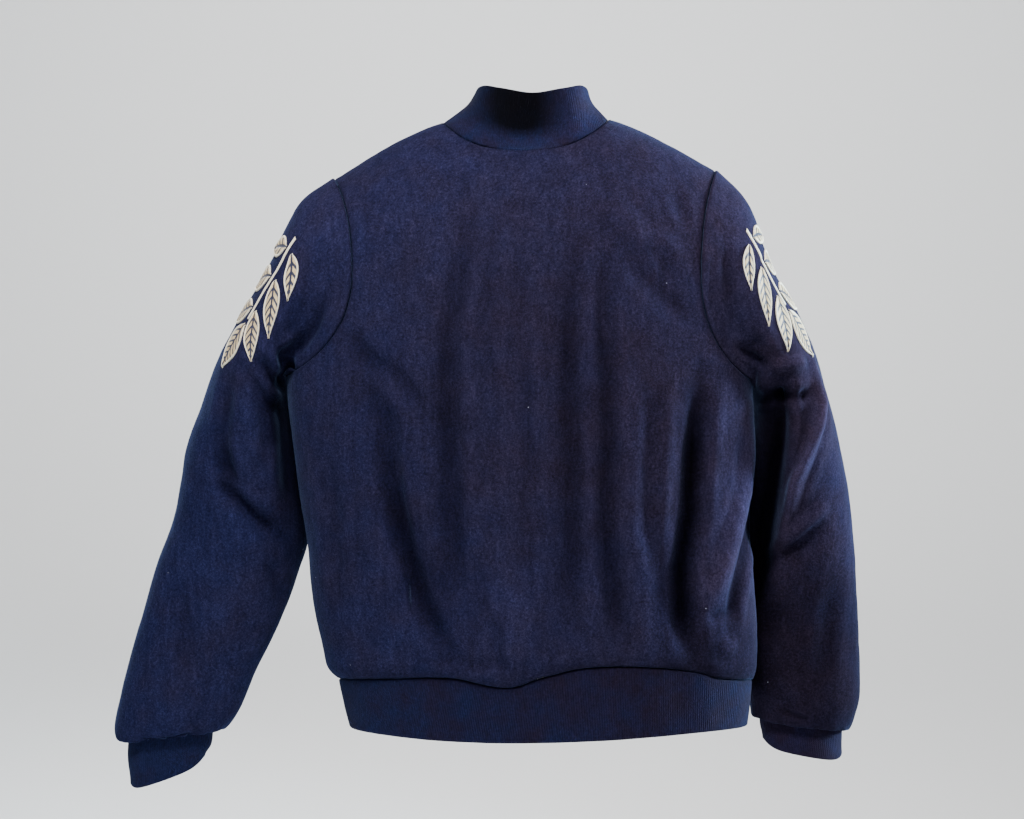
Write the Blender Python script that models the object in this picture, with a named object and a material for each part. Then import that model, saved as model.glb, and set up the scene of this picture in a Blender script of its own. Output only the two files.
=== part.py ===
"""A wool bomber jacket, filled out and upright, as if held at its shoulders.

The jacket faces -Y, its back faces +Y and +Z is up. The origin lies midway between the two
points where the shoulder seams meet the neck seam. "Left" is the wearer's left, at +X.

Every cloth piece is a wall between an outer skin and a copy of that skin moved inwards. The outer
skin is worked out from short tables: the torso from level sections, the sleeves, collar and ribs
from rings. Tables are in millimetres; the model is in metres.
"""

import math
from collections import namedtuple

import bmesh
import bpy
from mathutils import Matrix, Vector

MM = 0.001

# ---------------------------------------------------------------------------- driving sizes, mm
WOOL_WALL = 2.4
RIB_WALL = 2.6
TAPE_WALL = 1.2
TAPE_DEPTH = 0.9             # how far the zip tapes' faces lie below the cloth's
CHAIN_WALL = 2.0
SEAM_GAP = 0.3
SECTION_POWER = 2.3          # how square a torso section is: 2 is an ellipse

NECK_HALF_WIDTH = 87.0
NECK_BACK_SHARE = 0.66       # depth of the neck hole as a share of the torso's depth
NECK_FRONT_SHARE = 0.82
NECK_POWER = 2.5             # how square the neck hole is
SHOULDER_BASE = -164.0       # below this level the shoulders have rounded over into the torso
HEM_TUCK = 7.0               # how far the hem seam lies in under the panels that hang over it,
HEM_TUCK_LEAN = 3.0          # and how much more so at the left side
ZIP_HALF_WIDTH = 7.0         # from the centre front to the edge of a front panel
CHAIN_HALF_WIDTH = 3.0

# How finely the pieces are divided.
NECK_COLUMNS = 5
SHOULDER_COLUMNS = 7
ROLL_ROWS = 5                # from the shoulder seam to SHOULDER_BASE
ARM_ROWS = 5                 # from there to the underarm
SIDE_STOPS = [0, 0.11, 0.22, 0.34, 0.46, 0.58, 0.7, 0.82, 0.94, 1]     # on down to the hem seam
SIDE_ROWS = len(SIDE_STOPS) - 1
LAST_ROW = ROLL_ROWS + ARM_ROWS + SIDE_ROWS
AROUND = 2 * (ROLL_ROWS + ARM_ROWS)                                    # round a sleeve
ROW_SAG = 42.0               # how far the middle of the underarm's row lies below the underarm
RIB_ROWS = 2                 # down the hem rib
CUFF_ROWS = 3
COLLAR_ROWS = 3

# ---------------------------------------------------------------------------- shape tables, mm
# Sections of the torso: the two side edges, and the depth of back and front.
Level = namedtuple("Level", "z left right back front")
TORSO = [
    Level(40, 252, -242, 88, 96),
    Level(-100, 252, -241, 90, 98),
    Level(-164, 253, -240, 94, 101),
    Level(-276, 253, -239, 99, 106),
    Level(-330, 247, -239, 100, 107),
    Level(-380, 240, -236, 100, 107),
    Level(-440, 231, -237, 99, 106),
    Level(-500, 225, -241, 98, 105),
    Level(-545, 216, -243, 97, 103),
    Level(-590, 207, -242, 95, 100),
]
HEM_EDGE = Level(-637, 186, -233, 84, 87)      # the hem rib's lower edge

# Height of the shoulders' ridge, by distance from the centre.
Ridge = namedtuple("Ridge", "x z")
SHOULDER = [Ridge(0, 3), Ridge(60, 3), Ridge(87, 0), Ridge(119, -12), Ridge(156, -31),
            Ridge(190, -51), Ridge(211, -63), Ridge(255, -94)]

SHOULDER_TILT = -0.017       # the right shoulder is a little higher than the left

# The armholes: top and middle of the seam, and the height of the underarm. Left is 1, right -1.
Armhole = namedtuple("Armhole", "tip_x middle_x under_z")
ARMHOLE = {1: Armhole(202, 177, -269), -1: Armhole(199, 177, -276)}

# Height of the hem seam along the panels, from the right side (-1) to the left side (1).
Seam = namedtuple("Seam", "s z")
HEM_BACK = [Seam(-1, -589), Seam(-0.58, -579), Seam(-0.47, -571), Seam(-0.24, -563),
            Seam(-0.09, -564), Seam(-0.01, -572), Seam(0.06, -583), Seam(0.13, -582),
            Seam(0.24, -575), Seam(0.47, -578), Seam(0.86, -585), Seam(1, -588)]
HEM_FRONT = [Seam(-1, -589), Seam(-0.6, -574), Seam(0, -579), Seam(0.5, -573), Seam(1, -588)]
HEM_LOWER = [Seam(-1, -634), Seam(-0.5, -632), Seam(0.1, -639), Seam(0.6, -636), Seam(1, -636)]

# Rings of a sleeve from shoulder to cuff: outer and inner point, the middle's y, half the depth,
# and how far the ring's front and back bow towards the body.
Ring = namedtuple("Ring", "out_x out_z in_x in_z y depth bow")
SLEEVE = {
    1: [
        Ring(236, -87, 259, -275, -2, 68, 34),
        Ring(261, -131, 260, -285, -5, 71, 17),
        Ring(285, -176, 258, -298, -10, 72, 6),
        Ring(311, -218, 255, -312, -16, 71, 0),
        Ring(332, -260, 251, -329, -22, 69, 0),
        Ring(348, -303, 248, -350, -26, 66, 0),
        Ring(363, -343, 245, -375, -30, 63, 0),
        Ring(371, -384, 242, -402, -33, 59, 0),
        Ring(381, -427, 240, -430, -36, 56, 0),
        Ring(397, -470, 241, -462, -38, 53, 0),
        Ring(410, -513, 253, -501, -39, 50, 0),
        Ring(424, -561, 272, -546, -40, 47, 0),
        Ring(436, -607, 294, -591, -40, 44, 0),
        Ring(444, -643, 309, -627, -40, 40, 0),
        Ring(441, -660, 325, -648, -40, 33, 0),
        Ring(429, -654, 338, -645, -40, 25, 0),
    ],
    -1: [
        Ring(230, -84, 244, -281, -2, 68, 30),
        Ring(246, -119, 247, -288, -6, 71, 16),
        Ring(262, -157, 248, -299, -12, 72, 6),
        Ring(288, -200, 248, -313, -20, 71, 0),
        Ring(308, -240, 247, -331, -28, 69, 0),
        Ring(323, -288, 246, -352, -36, 67, 0),
        Ring(336, -330, 244, -378, -44, 64, 0),
        Ring(347, -376, 241, -405, -52, 61, 0),
        Ring(356, -430, 239, -438, -60, 58, 0),
        Ring(361, -487, 234, -477, -65, 54, 0),
        Ring(364, -535, 233, -520, -67, 51, 0),
        Ring(366, -580, 235, -562, -68, 48, 0),
        Ring(366, -617, 240, -600, -68, 45, 0),
        Ring(361, -640, 246, -625, -68, 41, 0),
        Ring(354, -654, 248, -640, -68, 35, 0),
        Ring(347, -645, 256, -631, -68, 26, 0),
    ],
}
CUFF = {
    1: [Ring(429, -654, 338, -645, -40, 25, 0), Ring(430, -682, 340, -667, -40, 24, 0),
        Ring(429, -713, 345, -684, -40, 26, 0)],
    -1: [Ring(347, -645, 256, -631, -68, 26, 0), Ring(347, -665, 257, -651, -67, 26, 0),
         Ring(349, -686, 258, -670, -66, 28, 0)],
}

COLLAR_LEAN = -6.0           # the collar leans a little to the right
# The collar's top edge, at even steps from the centre back round to the centre front.
Rim = namedtuple("Rim", "x y z")
COLLAR_TOP = [Rim(0, 35, 23), Rim(33, 32, 29), Rim(52, 19, 34), Rim(60, -6, 31),
              Rim(58, -34, 18), Rim(46, -57, -2), Rim(24, -70, -17), Rim(9, -75, -24)]

# The largest folds: a path of (x, z) places seen from behind or in front, half the width, and the
# height, negative for a trough and positive for a ridge. On the sleeves x is the distance from
# the centre, whichever the side.
Fold = namedtuple("Fold", "path width height")
BACK_FOLDS = [
    Fold([(88, -190), (78, -445), (74, -500)], 26, -4),
    Fold([(180, -243), (147, -317), (139, -384), (106, -475), (78, -544)], 26, -7),
    Fold([(-30, -150), (-41, -342), (-41, -545)], 26, -4),
    Fold([(-73, -211), (-77, -443), (-98, -558)], 26, -3),
    Fold([(-169, -270), (-163, -382), (-151, -484), (-163, -549)], 26, -9),
    Fold([(-214, -380), (-200, -448), (-179, -512)], 22, 6),
    Fold([(20, -470), (18, -570)], 40, 5),
]
FRONT_FOLDS = [
    Fold([(150, -230), (120, -330), (112, -460)], 28, -6),
    Fold([(60, -300), (52, -560)], 26, -4),
    Fold([(-140, -250), (-118, -350), (-96, -500)], 28, -7),
    Fold([(-60, -330), (-66, -560)], 26, -3),
    Fold([(178, -420), (160, -560)], 28, 5),
]
SLEEVE_FOLDS = {
    1: [Fold([(222, -190), (246, -235)], 18, -6), Fold([(268, -285), (266, -350)], 18, -6),
        Fold([(330, -335), (290, -410), (262, -436)], 20, -6)],
    -1: [Fold([(228, -225), (250, -268)], 18, -7),
         Fold([(310, -290), (305, -340), (272, -425)], 22, 5),
         Fold([(312, -434), (270, -462), (244, -476)], 18, -6)],
}


# ---------------------------------------------------------------------------- small mathematics
def smooth_values(keys, values, at):
    """Cubic interpolation whose slope at each row is that between its two neighbours."""
    last = len(keys) - 1
    at = min(max(at, keys[0]), keys[last])
    i = 0
    while i < last - 1 and at > keys[i + 1]:
        i += 1
    span = keys[i + 1] - keys[i]
    t = (at - keys[i]) / span

    def slope(k):
        low, high = max(k - 1, 0), min(k + 1, last)
        return (values[high] - values[low]) / (keys[high] - keys[low])

    a, b = values[i], values[i + 1]
    slope_a, slope_b = slope(i) * span, slope(i + 1) * span
    return (a * (2 * t**3 - 3 * t**2 + 1) + slope_a * (t**3 - 2 * t**2 + t)
            + b * (3 * t**2 - 2 * t**3) + slope_b * (t**3 - t**2))


def smooth_table(rows, key, wanted, at):
    """A smooth curve through one column of a table, read at a value of its key column."""
    keys = [getattr(row, key) for row in rows]
    values = [getattr(row, wanted) for row in rows]
    if keys[0] > keys[-1]:
        keys, values = keys[::-1], values[::-1]
    return smooth_values(keys, values, at)


def smooth_step(low, high, value):
    t = min(max((value - low) / (high - low), 0.0), 1.0)
    return t * t * (3 - 2 * t)


def fold_height(folds, x, z):
    """The sum of the folds' heights at one place, each soft across and fading at its ends."""
    total = 0.0
    for fold in folds:
        best, place = fold.width, 0.0
        count = len(fold.path) - 1
        for i in range(count):
            (ax, az), (bx, bz) = fold.path[i], fold.path[i + 1]
            dx, dz = bx - ax, bz - az
            t = ((x - ax) * dx + (z - az) * dz) / (dx * dx + dz * dz)
            t = min(max(t, 0.0), 1.0)
            distance = math.hypot(x - ax - t * dx, z - az - t * dz)
            if distance < best:
                best, place = distance, (i + t) / count
        across = 0.5 + 0.5 * math.cos(math.pi * best / fold.width)
        along = smooth_step(0, 0.25, place) * smooth_step(0, 0.25, 1 - place)
        total += fold.height * across * (0.25 + 0.75 * along)
    return total


# ---------------------------------------------------------------------------- the torso's skin
def torso_level(z):
    """Centre, half-width, back depth and front depth of the torso's section at a level."""
    left = smooth_table(TORSO, "z", "left", z)
    right = smooth_table(TORSO, "z", "right", z)
    back = smooth_table(TORSO, "z", "back", z)
    front = smooth_table(TORSO, "z", "front", z)
    return (left + right) / 2, (left - right) / 2, back, front


def shoulder_ridge(x):
    return smooth_table(SHOULDER, "x", "z", abs(x)) + SHOULDER_TILT * x


def section_angle(x, z):
    """The section angle, 0 at the centre and a quarter turn at the side, of a place x."""
    centre, half_width, _, _ = torso_level(z)
    share = min(abs(x - centre) / half_width, 1.0)
    return math.asin(share ** (SECTION_POWER / 2))


def section_place(side, angle, centre, half_width, depth):
    """The x and y of a place on a section, from its angle."""
    x = centre + side * half_width * math.sin(angle) ** (2 / SECTION_POWER)
    return x, depth * max(math.cos(angle), 0.0) ** (2 / SECTION_POWER)


def armhole_edge(side, row):
    """Section angle and level of the armhole seam, or of the side seam below it, at a row."""
    hole = ARMHOLE[side]
    if row <= ROLL_ROWS:
        roll = math.radians(90) * row / ROLL_ROWS
        x = hole.middle_x + (hole.tip_x - hole.middle_x) * math.cos(roll) ** 2
        ridge = shoulder_ridge(side * x)
        z = ridge - (ridge - SHOULDER_BASE) * (1 - math.cos(roll))
        return section_angle(side * x, z), z
    if row < ROLL_ROWS + ARM_ROWS:
        down = (row - ROLL_ROWS) / ARM_ROWS
        middle = section_angle(side * hole.middle_x, SHOULDER_BASE)
        angle = middle + (math.radians(90) - middle) * down ** 2.3
        z = SHOULDER_BASE + (hole.under_z - SHOULDER_BASE) * math.sin(math.radians(90) * down)
        return angle, z
    return math.radians(90), hole.under_z


def neck_share(side):
    """Where the neck point lies between the centre (0) and the shoulder tip (1)."""
    return section_angle(side * NECK_HALF_WIDTH, 0.0) / armhole_edge(side, 0)[0]


def torso_point(face, s, row):
    """A point of the torso's outer skin, in mm.

    face is 1 for the back and -1 for the front, s runs from the right edge (-1) over the centre to
    the left edge (1), and row runs from the neck and shoulder seams down to the hem seam.
    """
    side = 1 if s >= 0 else -1
    edge_angle, edge_z = armhole_edge(side, row)
    angle = abs(s) * edge_angle
    thickness = 1.0
    if row <= ROLL_ROWS:
        centre, half_width, _, _ = torso_level(edge_z)
        x, _ = section_place(side, angle, centre, half_width, 0)
        neck = neck_share(side)
        start = 0.0
        if abs(s) < neck:
            deepest = NECK_BACK_SHARE if face > 0 else NECK_FRONT_SHARE
            start = math.asin(deepest * (1 - (abs(s) / neck) ** NECK_POWER) ** (1 / NECK_POWER))
        roll = start + (math.radians(90) - start) * row / ROLL_ROWS
        ridge = shoulder_ridge(x)
        z = ridge - (ridge - SHOULDER_BASE) * (1 - math.cos(roll))
        thickness = math.sin(roll)
    else:
        under = (ARMHOLE[1].under_z + ARMHOLE[-1].under_z) / 2
        turned = min((row - ROLL_ROWS) / ARM_ROWS, 1.0)
        middle_z = SHOULDER_BASE + (under - SHOULDER_BASE) * math.sin(math.radians(90) * turned)
        middle_z -= ROW_SAG * turned ** 3
        z = middle_z + (edge_z - middle_z) * abs(s) ** 6
        if row > ROLL_ROWS + ARM_ROWS:
            step = min(int(row) - ROLL_ROWS - ARM_ROWS, SIDE_ROWS - 1)
            part = row - ROLL_ROWS - ARM_ROWS - step
            down = SIDE_STOPS[step] + (SIDE_STOPS[step + 1] - SIDE_STOPS[step]) * part
            z += (smooth_table(HEM_BACK if face > 0 else HEM_FRONT, "s", "z", s) - z) * down
        centre, half_width, _, _ = torso_level(z)
        x, _ = section_place(side, angle, centre, half_width, 0)
    _, _, back, front = torso_level(z)
    _, y = section_place(side, angle, 0, 0, back if face > 0 else front)
    outward = Vector((math.sin(angle) * side, face * math.cos(angle), 0))
    fade = smooth_step(0, 0.25, math.cos(angle)) * smooth_step(0.5, 1, thickness)
    height = fade * fold_height(BACK_FOLDS if face > 0 else FRONT_FOLDS, x, z)
    tuck = max(row - LAST_ROW + 1, 0.0) ** 2 * (HEM_TUCK + HEM_TUCK_LEAN * s)
    return Vector((x, face * y * thickness, z)) + outward * (height - tuck)


def torso_columns(side, inner):
    """The places of a panel's columns from inner (near the centre) out to the side edge."""
    neck = neck_share(side)
    near = [inner + (neck - inner) * i / NECK_COLUMNS for i in range(NECK_COLUMNS)]
    far = [neck + (1 - neck) * i / SHOULDER_COLUMNS for i in range(SHOULDER_COLUMNS + 1)]
    return [side * s for s in near + far]


def zip_share(side, row):
    """The place s of a front panel's edge beside the zip, at a row."""
    edge_angle, edge_z = armhole_edge(side, row)
    half_width = torso_level(edge_z)[1]
    return math.asin((ZIP_HALF_WIDTH / half_width) ** (SECTION_POWER / 2)) / edge_angle


def back_panel_grid():
    columns = torso_columns(1, 0)[::-1] + torso_columns(-1, 0)[1:]
    return [[torso_point(1, s, row) for s in columns] for row in range(LAST_ROW + 1)]


def front_panel_grid(side):
    return [[torso_point(-1, s, row) for s in torso_columns(side, zip_share(side, row))]
            for row in range(LAST_ROW + 1)]


# ---------------------------------------------------------------------------- sleeves and ribs
def ring_point(side, ring, turn):
    """A point on one ring; turn runs 0..1 from the outer point over the back and round."""
    angle = 2 * math.pi * turn
    middle_x, middle_z = (ring.out_x + ring.in_x) / 2, (ring.out_z + ring.in_z) / 2
    x = middle_x + (ring.out_x - middle_x) * math.cos(angle) - ring.bow * math.sin(angle) ** 2
    z = middle_z + (ring.out_z - middle_z) * math.cos(angle)
    return Vector((side * x, ring.y + ring.depth * math.sin(angle), z))


def armhole_point(side, turn):
    """A point on the armhole seam, with turn as in ring_point."""
    half = ROLL_ROWS + ARM_ROWS
    if turn <= 0.5:
        return torso_point(1, side, turn * 2 * half)
    return torso_point(-1, side, (1 - turn) * 2 * half)


def sleeve_point(side, turn, along):
    """A point of a sleeve's outer skin; along counts the rings from the armhole seam."""
    points = [armhole_point(side, turn)] + [ring_point(side, ring, turn) for ring in SLEEVE[side]]
    keys = list(range(len(points)))
    place = Vector([smooth_values(keys, [p[axis] for p in points], along) for axis in range(3)])
    angle = 2 * math.pi * turn
    fade = smooth_step(-0.1, 0.6, math.sin(angle)) * smooth_step(0, 1, along)
    outward = Vector((side * math.cos(angle) * 0.6, math.sin(angle), 0)).normalized()
    return place + outward * fold_height(SLEEVE_FOLDS[side], abs(place.x), place.z) * fade


def sleeve_grid(side):
    return [[sleeve_point(side, j / AROUND, k) for j in range(AROUND + 1)]
            for k in range(len(SLEEVE[side]) + 1)]


def cuff_grid(side):
    rings = CUFF[side]
    keys = list(range(len(rings)))
    rows = []
    for i in range(CUFF_ROWS + 1):
        at = keys[-1] * i / CUFF_ROWS
        ring = Ring(*[smooth_values(keys, values, at) for values in zip(*rings)])
        rows.append([ring_point(side, ring, j / AROUND) for j in range(AROUND + 1)])
    return rows


def hem_rib_point(face, s, down):
    """A point of the hem rib's outer skin; down runs 0..1 from the hem seam to the lower edge."""
    side = 1 if s >= 0 else -1
    centre, half_width = (HEM_EDGE.left + HEM_EDGE.right) / 2, (HEM_EDGE.left - HEM_EDGE.right) / 2
    depth = HEM_EDGE.back if face > 0 else HEM_EDGE.front
    x, y = section_place(side, abs(s) * math.radians(90), centre, half_width, depth)
    z = smooth_table(HEM_LOWER, "s", "z", s)
    return torso_point(face, s, LAST_ROW).lerp(Vector((x, face * y, z)), down)


def hem_rib_grid():
    """From the left front edge round the back to the right front edge."""
    left = [(-1, s) for s in torso_columns(1, zip_share(1, LAST_ROW))]
    back = [(1, s) for s in torso_columns(1, 0)[-2:0:-1] + torso_columns(-1, 0)[:-1]]
    right = [(-1, s) for s in torso_columns(-1, zip_share(-1, LAST_ROW))[::-1]]
    return [[hem_rib_point(face, s, i / RIB_ROWS) for face, s in left + back + right]
            for i in range(RIB_ROWS + 1)]


def collar_side(side):
    """Pairs of neck seam and top edge points from the centre back to one front end."""
    keys = [i / (len(COLLAR_TOP) - 1) for i in range(len(COLLAR_TOP))]
    backs = [(1, s) for s in torso_columns(side, 0)[:NECK_COLUMNS]]
    fronts = [(-1, s) for s in torso_columns(side, zip_share(side, 0))[NECK_COLUMNS::-1]]
    pairs = []
    for i, (face, s) in enumerate(backs + fronts):
        at = i / (2 * NECK_COLUMNS)
        x, y, z = [smooth_values(keys, values, at) for values in zip(*COLLAR_TOP)]
        pairs.append((torso_point(face, s, 0), Vector((side * x + COLLAR_LEAN, y, z))))
    return pairs


def collar_grid():
    """From the left front end round the back to the right front end, top edge to neck seam."""
    pairs = collar_side(1)[::-1] + collar_side(-1)[1:]
    return [[top.lerp(low, i / COLLAR_ROWS) for low, top in pairs] for i in range(COLLAR_ROWS + 1)]


def zip_grid(side, first_row=0):
    """From the centre front to one front panel's edge, down over the panel's rows and the rib."""
    rows = [first_row] + list(range(int(first_row) + 1, LAST_ROW + 1))
    grid = [[torso_point(-1, s, row) for s in (0, side * zip_share(side, row))] for row in rows]
    edge = side * zip_share(side, LAST_ROW)
    return grid + [[hem_rib_point(-1, s, i / RIB_ROWS) for s in (0, edge)]
                   for i in range(1, RIB_ROWS + 1)]


# ---------------------------------------------------------------------------- walls from skins
def place_key(point):
    return tuple(round(value, 3) + 0.0 for value in point)


def skin_normals(grids):
    """Outward directions at every point of the skin, shared where pieces meet at a seam."""
    sums = {}
    for rows in grids:
        for upper, lower in zip(rows, rows[1:]):
            for i in range(len(upper) - 1):
                corners = [upper[i], upper[i + 1], lower[i + 1], lower[i]]
                normal = (corners[2] - corners[0]).cross(corners[1] - corners[3])
                for corner in corners:
                    key = place_key(corner)
                    sums[key] = sums.get(key, Vector()) + normal
    return {key: value.normalized() for key, value in sums.items()}


def pulled_back(rows, normals, closed):
    """The grid with its open edges moved in by half a seam gap, square to each edge's rim."""
    height, width = len(rows), len(rows[0])
    moved = [[point.copy() for point in row] for row in rows]
    for i in range(height):
        for j in range(width):
            for di, dj in ((1, 0), (-1, 0), (0, 1), (0, -1)):
                if di and 0 <= i - di < height:
                    continue
                if dj and (closed or 0 <= j - dj < width):
                    continue
                inward = rows[i + di][j + dj] - rows[i][j]
                low = rows[max(i - abs(dj), 0)][max(j - abs(di), 0)]
                high = rows[min(i + abs(dj), height - 1)][min(j + abs(di), width - 1)]
                rim = (high - low).cross(normals[place_key(rows[i][j])]).normalized()
                inward = rim * inward.dot(rim)
                moved[i][j] += inward.normalized() * SEAM_GAP / 2
    return moved


def wall(name, rows, normals, thickness, material, closed=False, lift=0.0):
    """One closed cloth wall: the skin, lifted if need be, and a copy moved inwards."""
    edged = pulled_back(rows, normals, closed)
    height, width = len(rows), len(rows[0])
    mesh = bmesh.new()
    inward = mesh.verts.layers.float_vector.new("inward")
    bmesh.ops.create_grid(mesh, x_segments=width - 1, y_segments=height - 1, size=1)
    for vert in mesh.verts:
        j = round((vert.co.x + 1) / 2 * (width - 1))
        i = round((1 - vert.co.y) / 2 * (height - 1))
        normal = normals[place_key(rows[i][j])]
        vert[inward] = -normal * thickness * MM
        vert.co = (edged[i][j] + normal * lift) * MM
    if closed:
        bmesh.ops.remove_doubles(mesh, verts=mesh.verts, dist=0.01 * MM)
    copied = bmesh.ops.extrude_face_region(mesh, geom=mesh.faces[:], use_keep_orig=True)
    for item in copied["geom"]:
        if isinstance(item, bmesh.types.BMVert):
            item.co += item[inward]
    bmesh.ops.recalc_face_normals(mesh, faces=mesh.faces)
    return finished(name, mesh, material)


def finished(name, mesh, material, smooth=True):
    data = bpy.data.meshes.new(name)
    mesh.to_mesh(data)
    mesh.free()
    data.materials.append(material)
    if smooth:
        data.shade_smooth()
        data.set_sharp_from_angle(angle=math.radians(40))
    piece = bpy.data.objects.new(name, data)
    bpy.context.scene.collection.objects.link(piece)
    return piece


def plain_material(name, colour, roughness, metallic=0.0):
    material = bpy.data.materials.new(name)
    material.use_nodes = True
    shader = material.node_tree.nodes["Principled BSDF"]
    shader.inputs["Base Color"].default_value = (*colour, 1)
    shader.inputs["Roughness"].default_value = roughness
    shader.inputs["Metallic"].default_value = metallic
    return material


# ---------------------------------------------------------------------------- making the jacket
for old in list(bpy.data.objects):
    bpy.data.objects.remove(old)

WOOL = plain_material("navy_wool", (0.022, 0.024, 0.052), 0.95)
RIB = plain_material("navy_rib_knit", (0.012, 0.015, 0.045), 0.9)
TAPE = plain_material("navy_tape", (0.012, 0.014, 0.035), 0.85)
METAL = plain_material("brass", (0.55, 0.42, 0.22), 0.35, 1.0)
THREAD = plain_material("pale_gold_thread", (0.60, 0.48, 0.30), 0.6)

SIDES = {"left": 1, "right": -1}
GRIDS = {"back_panel": back_panel_grid(), "collar_rib": collar_grid(), "hem_rib": hem_rib_grid()}
for word, sign in SIDES.items():
    own = {"front_": front_panel_grid(sign), "sleeve_": sleeve_grid(sign),
           "cuff_": cuff_grid(sign), "zip_tape_": zip_grid(sign)}
    for kind, rows in own.items():
        GRIDS[kind + word] = [row[::sign] for row in rows]      # so that every skin faces out

NORMALS = skin_normals(GRIDS.values())
FINISH = {"back": (WOOL_WALL, WOOL), "front": (WOOL_WALL, WOOL), "sleeve": (WOOL_WALL, WOOL),
          "collar": (RIB_WALL, RIB), "hem": (RIB_WALL, RIB), "cuff": (RIB_WALL, RIB),
          "zip": (TAPE_WALL, TAPE)}
for name, rows in GRIDS.items():
    kind = name.split("_")[0]
    thickness, material = FINISH[kind]
    wall(name, rows, NORMALS, thickness, material, closed=kind in ("sleeve", "cuff"),
         lift=-TAPE_DEPTH if kind == "zip" else 0.0)

# The zip's teeth as one strip, over both tapes.
CHAIN_TOP = 0.2              # its first row, under the slider
tape_face = SEAM_GAP - TAPE_DEPTH
chain_face = tape_face + CHAIN_WALL
chain_rows = [[row[0] + Vector((x, 0, 0)) for x in (-CHAIN_HALF_WIDTH, CHAIN_HALF_WIDTH)]
              for row in zip_grid(1, CHAIN_TOP)]
wall("zip_chain", chain_rows, skin_normals([chain_rows]), CHAIN_WALL, METAL, lift=chain_face)

# ---------------------------------------------------------------------------- slider and pull tab
SLIDER_ROW = 0.55
SLIDER_WIDTH, SLIDER_LENGTH, PLATE = 11.0, 14.0, 1.6
ARCH_WIDTH, ARCH_WALL, ARCH_ROOM, ARCH_HALF = 2.4, 1.3, 3.4, 3.7
TAB_WIDTH, TAB_LENGTH, TAB_WALL = 8.0, 31.0, 1.6
BAR_HALF, EYE_END, EYE_SLACK = 1.0, 6.4, 0.4    # the tab's bar and the eye below it


def prism(name, outline, axis, low, high, place, material):
    """A straight solid: an outline of pairs pushed along one axis of its own frame."""
    mesh = bmesh.new()
    first, second = [i for i in range(3) if i != axis]
    corners = []
    for pair in outline:
        spot = Vector((0, 0, 0))
        spot[axis], spot[first], spot[second] = low, pair[0], pair[1]
        corners.append(mesh.verts.new(spot * MM))
    mesh.faces.new(corners)
    push = Vector((0, 0, 0))
    push[axis] = (high - low) * MM
    pushed = bmesh.ops.extrude_face_region(mesh, geom=mesh.faces[:], use_keep_orig=True)
    moved = [item for item in pushed["geom"] if isinstance(item, bmesh.types.BMVert)]
    bmesh.ops.translate(mesh, verts=moved, vec=push)
    bmesh.ops.recalc_face_normals(mesh, faces=mesh.faces)
    piece = finished(name, mesh, material, smooth=False)
    piece.matrix_world = place
    return piece


def rectangle(half_a, low_b, high_b):
    return [(-half_a, low_b), (half_a, low_b), (half_a, high_b), (-half_a, high_b)]


def combine(piece, tool, operation):
    """Boolean with a tool that stays in the file as a guide."""
    modifier = piece.modifiers.new(operation.lower(), "BOOLEAN")
    modifier.operation = operation
    modifier.object = tool
    tool.hide_render = True
    tool.display_type = "WIRE"


def zip_frame(row, lift):
    """Axes on the centre front: x across, y out of the cloth and z down the zip."""
    upper, lower = torso_point(-1, 0, 0.05), torso_point(-1, 0, 0.95)
    down = (lower - upper).normalized()
    across = Vector((1, 0, 0))
    across = (across - down * across.dot(down)).normalized()
    out = down.cross(across)
    frame = Matrix((across, out, down)).transposed().to_4x4()
    frame.translation = (upper.lerp(lower, (row - 0.05) / 0.9) + out * lift) * MM
    return frame


plate_low = chain_face + SEAM_GAP
plate_top = plate_low + PLATE
half, inner = SLIDER_WIDTH / 2, CHAIN_HALF_WIDTH + SEAM_GAP
slider_place = zip_frame(SLIDER_ROW, 0)
slider = prism("zip_slider",
               [(-half, tape_face), (-inner, tape_face), (-inner, plate_low), (inner, plate_low),
                (inner, tape_face), (half, tape_face), (half, plate_top), (-half, plate_top)],
               2, -SLIDER_LENGTH / 2, SLIDER_LENGTH / 2, slider_place, METAL)
inside, outside = ARCH_HALF, ARCH_HALF + ARCH_WALL
arch_in, arch_out = plate_top + ARCH_ROOM, plate_top + ARCH_ROOM + ARCH_WALL
foot = plate_top - PLATE / 2
arch = prism("arch_tool",
             [(foot, -outside), (arch_out, -outside), (arch_out, outside), (foot, outside),
              (foot, inside), (arch_in, inside), (arch_in, -inside), (foot, -inside)],
             0, -ARCH_WIDTH / 2, ARCH_WIDTH / 2, slider_place, METAL)
combine(slider, arch, "UNION")

# The tab hangs on a bar that runs through the arch; its object's origin is on the bar's axis.
tab_place = zip_frame(SLIDER_ROW, plate_top + ARCH_ROOM / 2)
tab = prism("zip_pull_tab", rectangle(TAB_WIDTH / 2, -BAR_HALF, TAB_LENGTH), 1,
            -TAB_WALL / 2, TAB_WALL / 2, tab_place, METAL)
eye = prism("eye_tool", rectangle(ARCH_WIDTH / 2 + EYE_SLACK, BAR_HALF, EYE_END), 1,
            -TAB_WALL, TAB_WALL, tab_place, METAL)
combine(tab, eye, "DIFFERENCE")

# ---------------------------------------------------------------------------- leaf sprays
# A stem with leaves, embroidered on the upper outer part of each sleeve. Places are in mm on the
# cloth from the spray's middle: across (towards the back) and down the sleeve.
Leaf = namedtuple("Leaf", "across down heading length width")
SPRAY_MIDDLE = (0.125, 3.0)  # turn and along, as in sleeve_point
LEAVES = [
    Leaf(4, 24, -4, 58, 32),
    Leaf(8, 4, 50, 52, 29), Leaf(-5, 8, -52, 50, 28),
    Leaf(8, -34, 58, 52, 30), Leaf(-6, -28, -56, 50, 28),
    Leaf(7, -64, 66, 38, 22), Leaf(-6, -60, -60, 36, 21),
]
LEAF_ROWS, STEM_ROWS = 4, 10
STEM_HALF_WIDTH = 1.6
STEM_PATH = [(-74, -2), (-40, 0), (-6, 1), (18, 3)]      # down, across
LEAF_WALL, LEAF_LIFT, STEM_LIFT = 1.4, 0.54, 0.4


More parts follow.
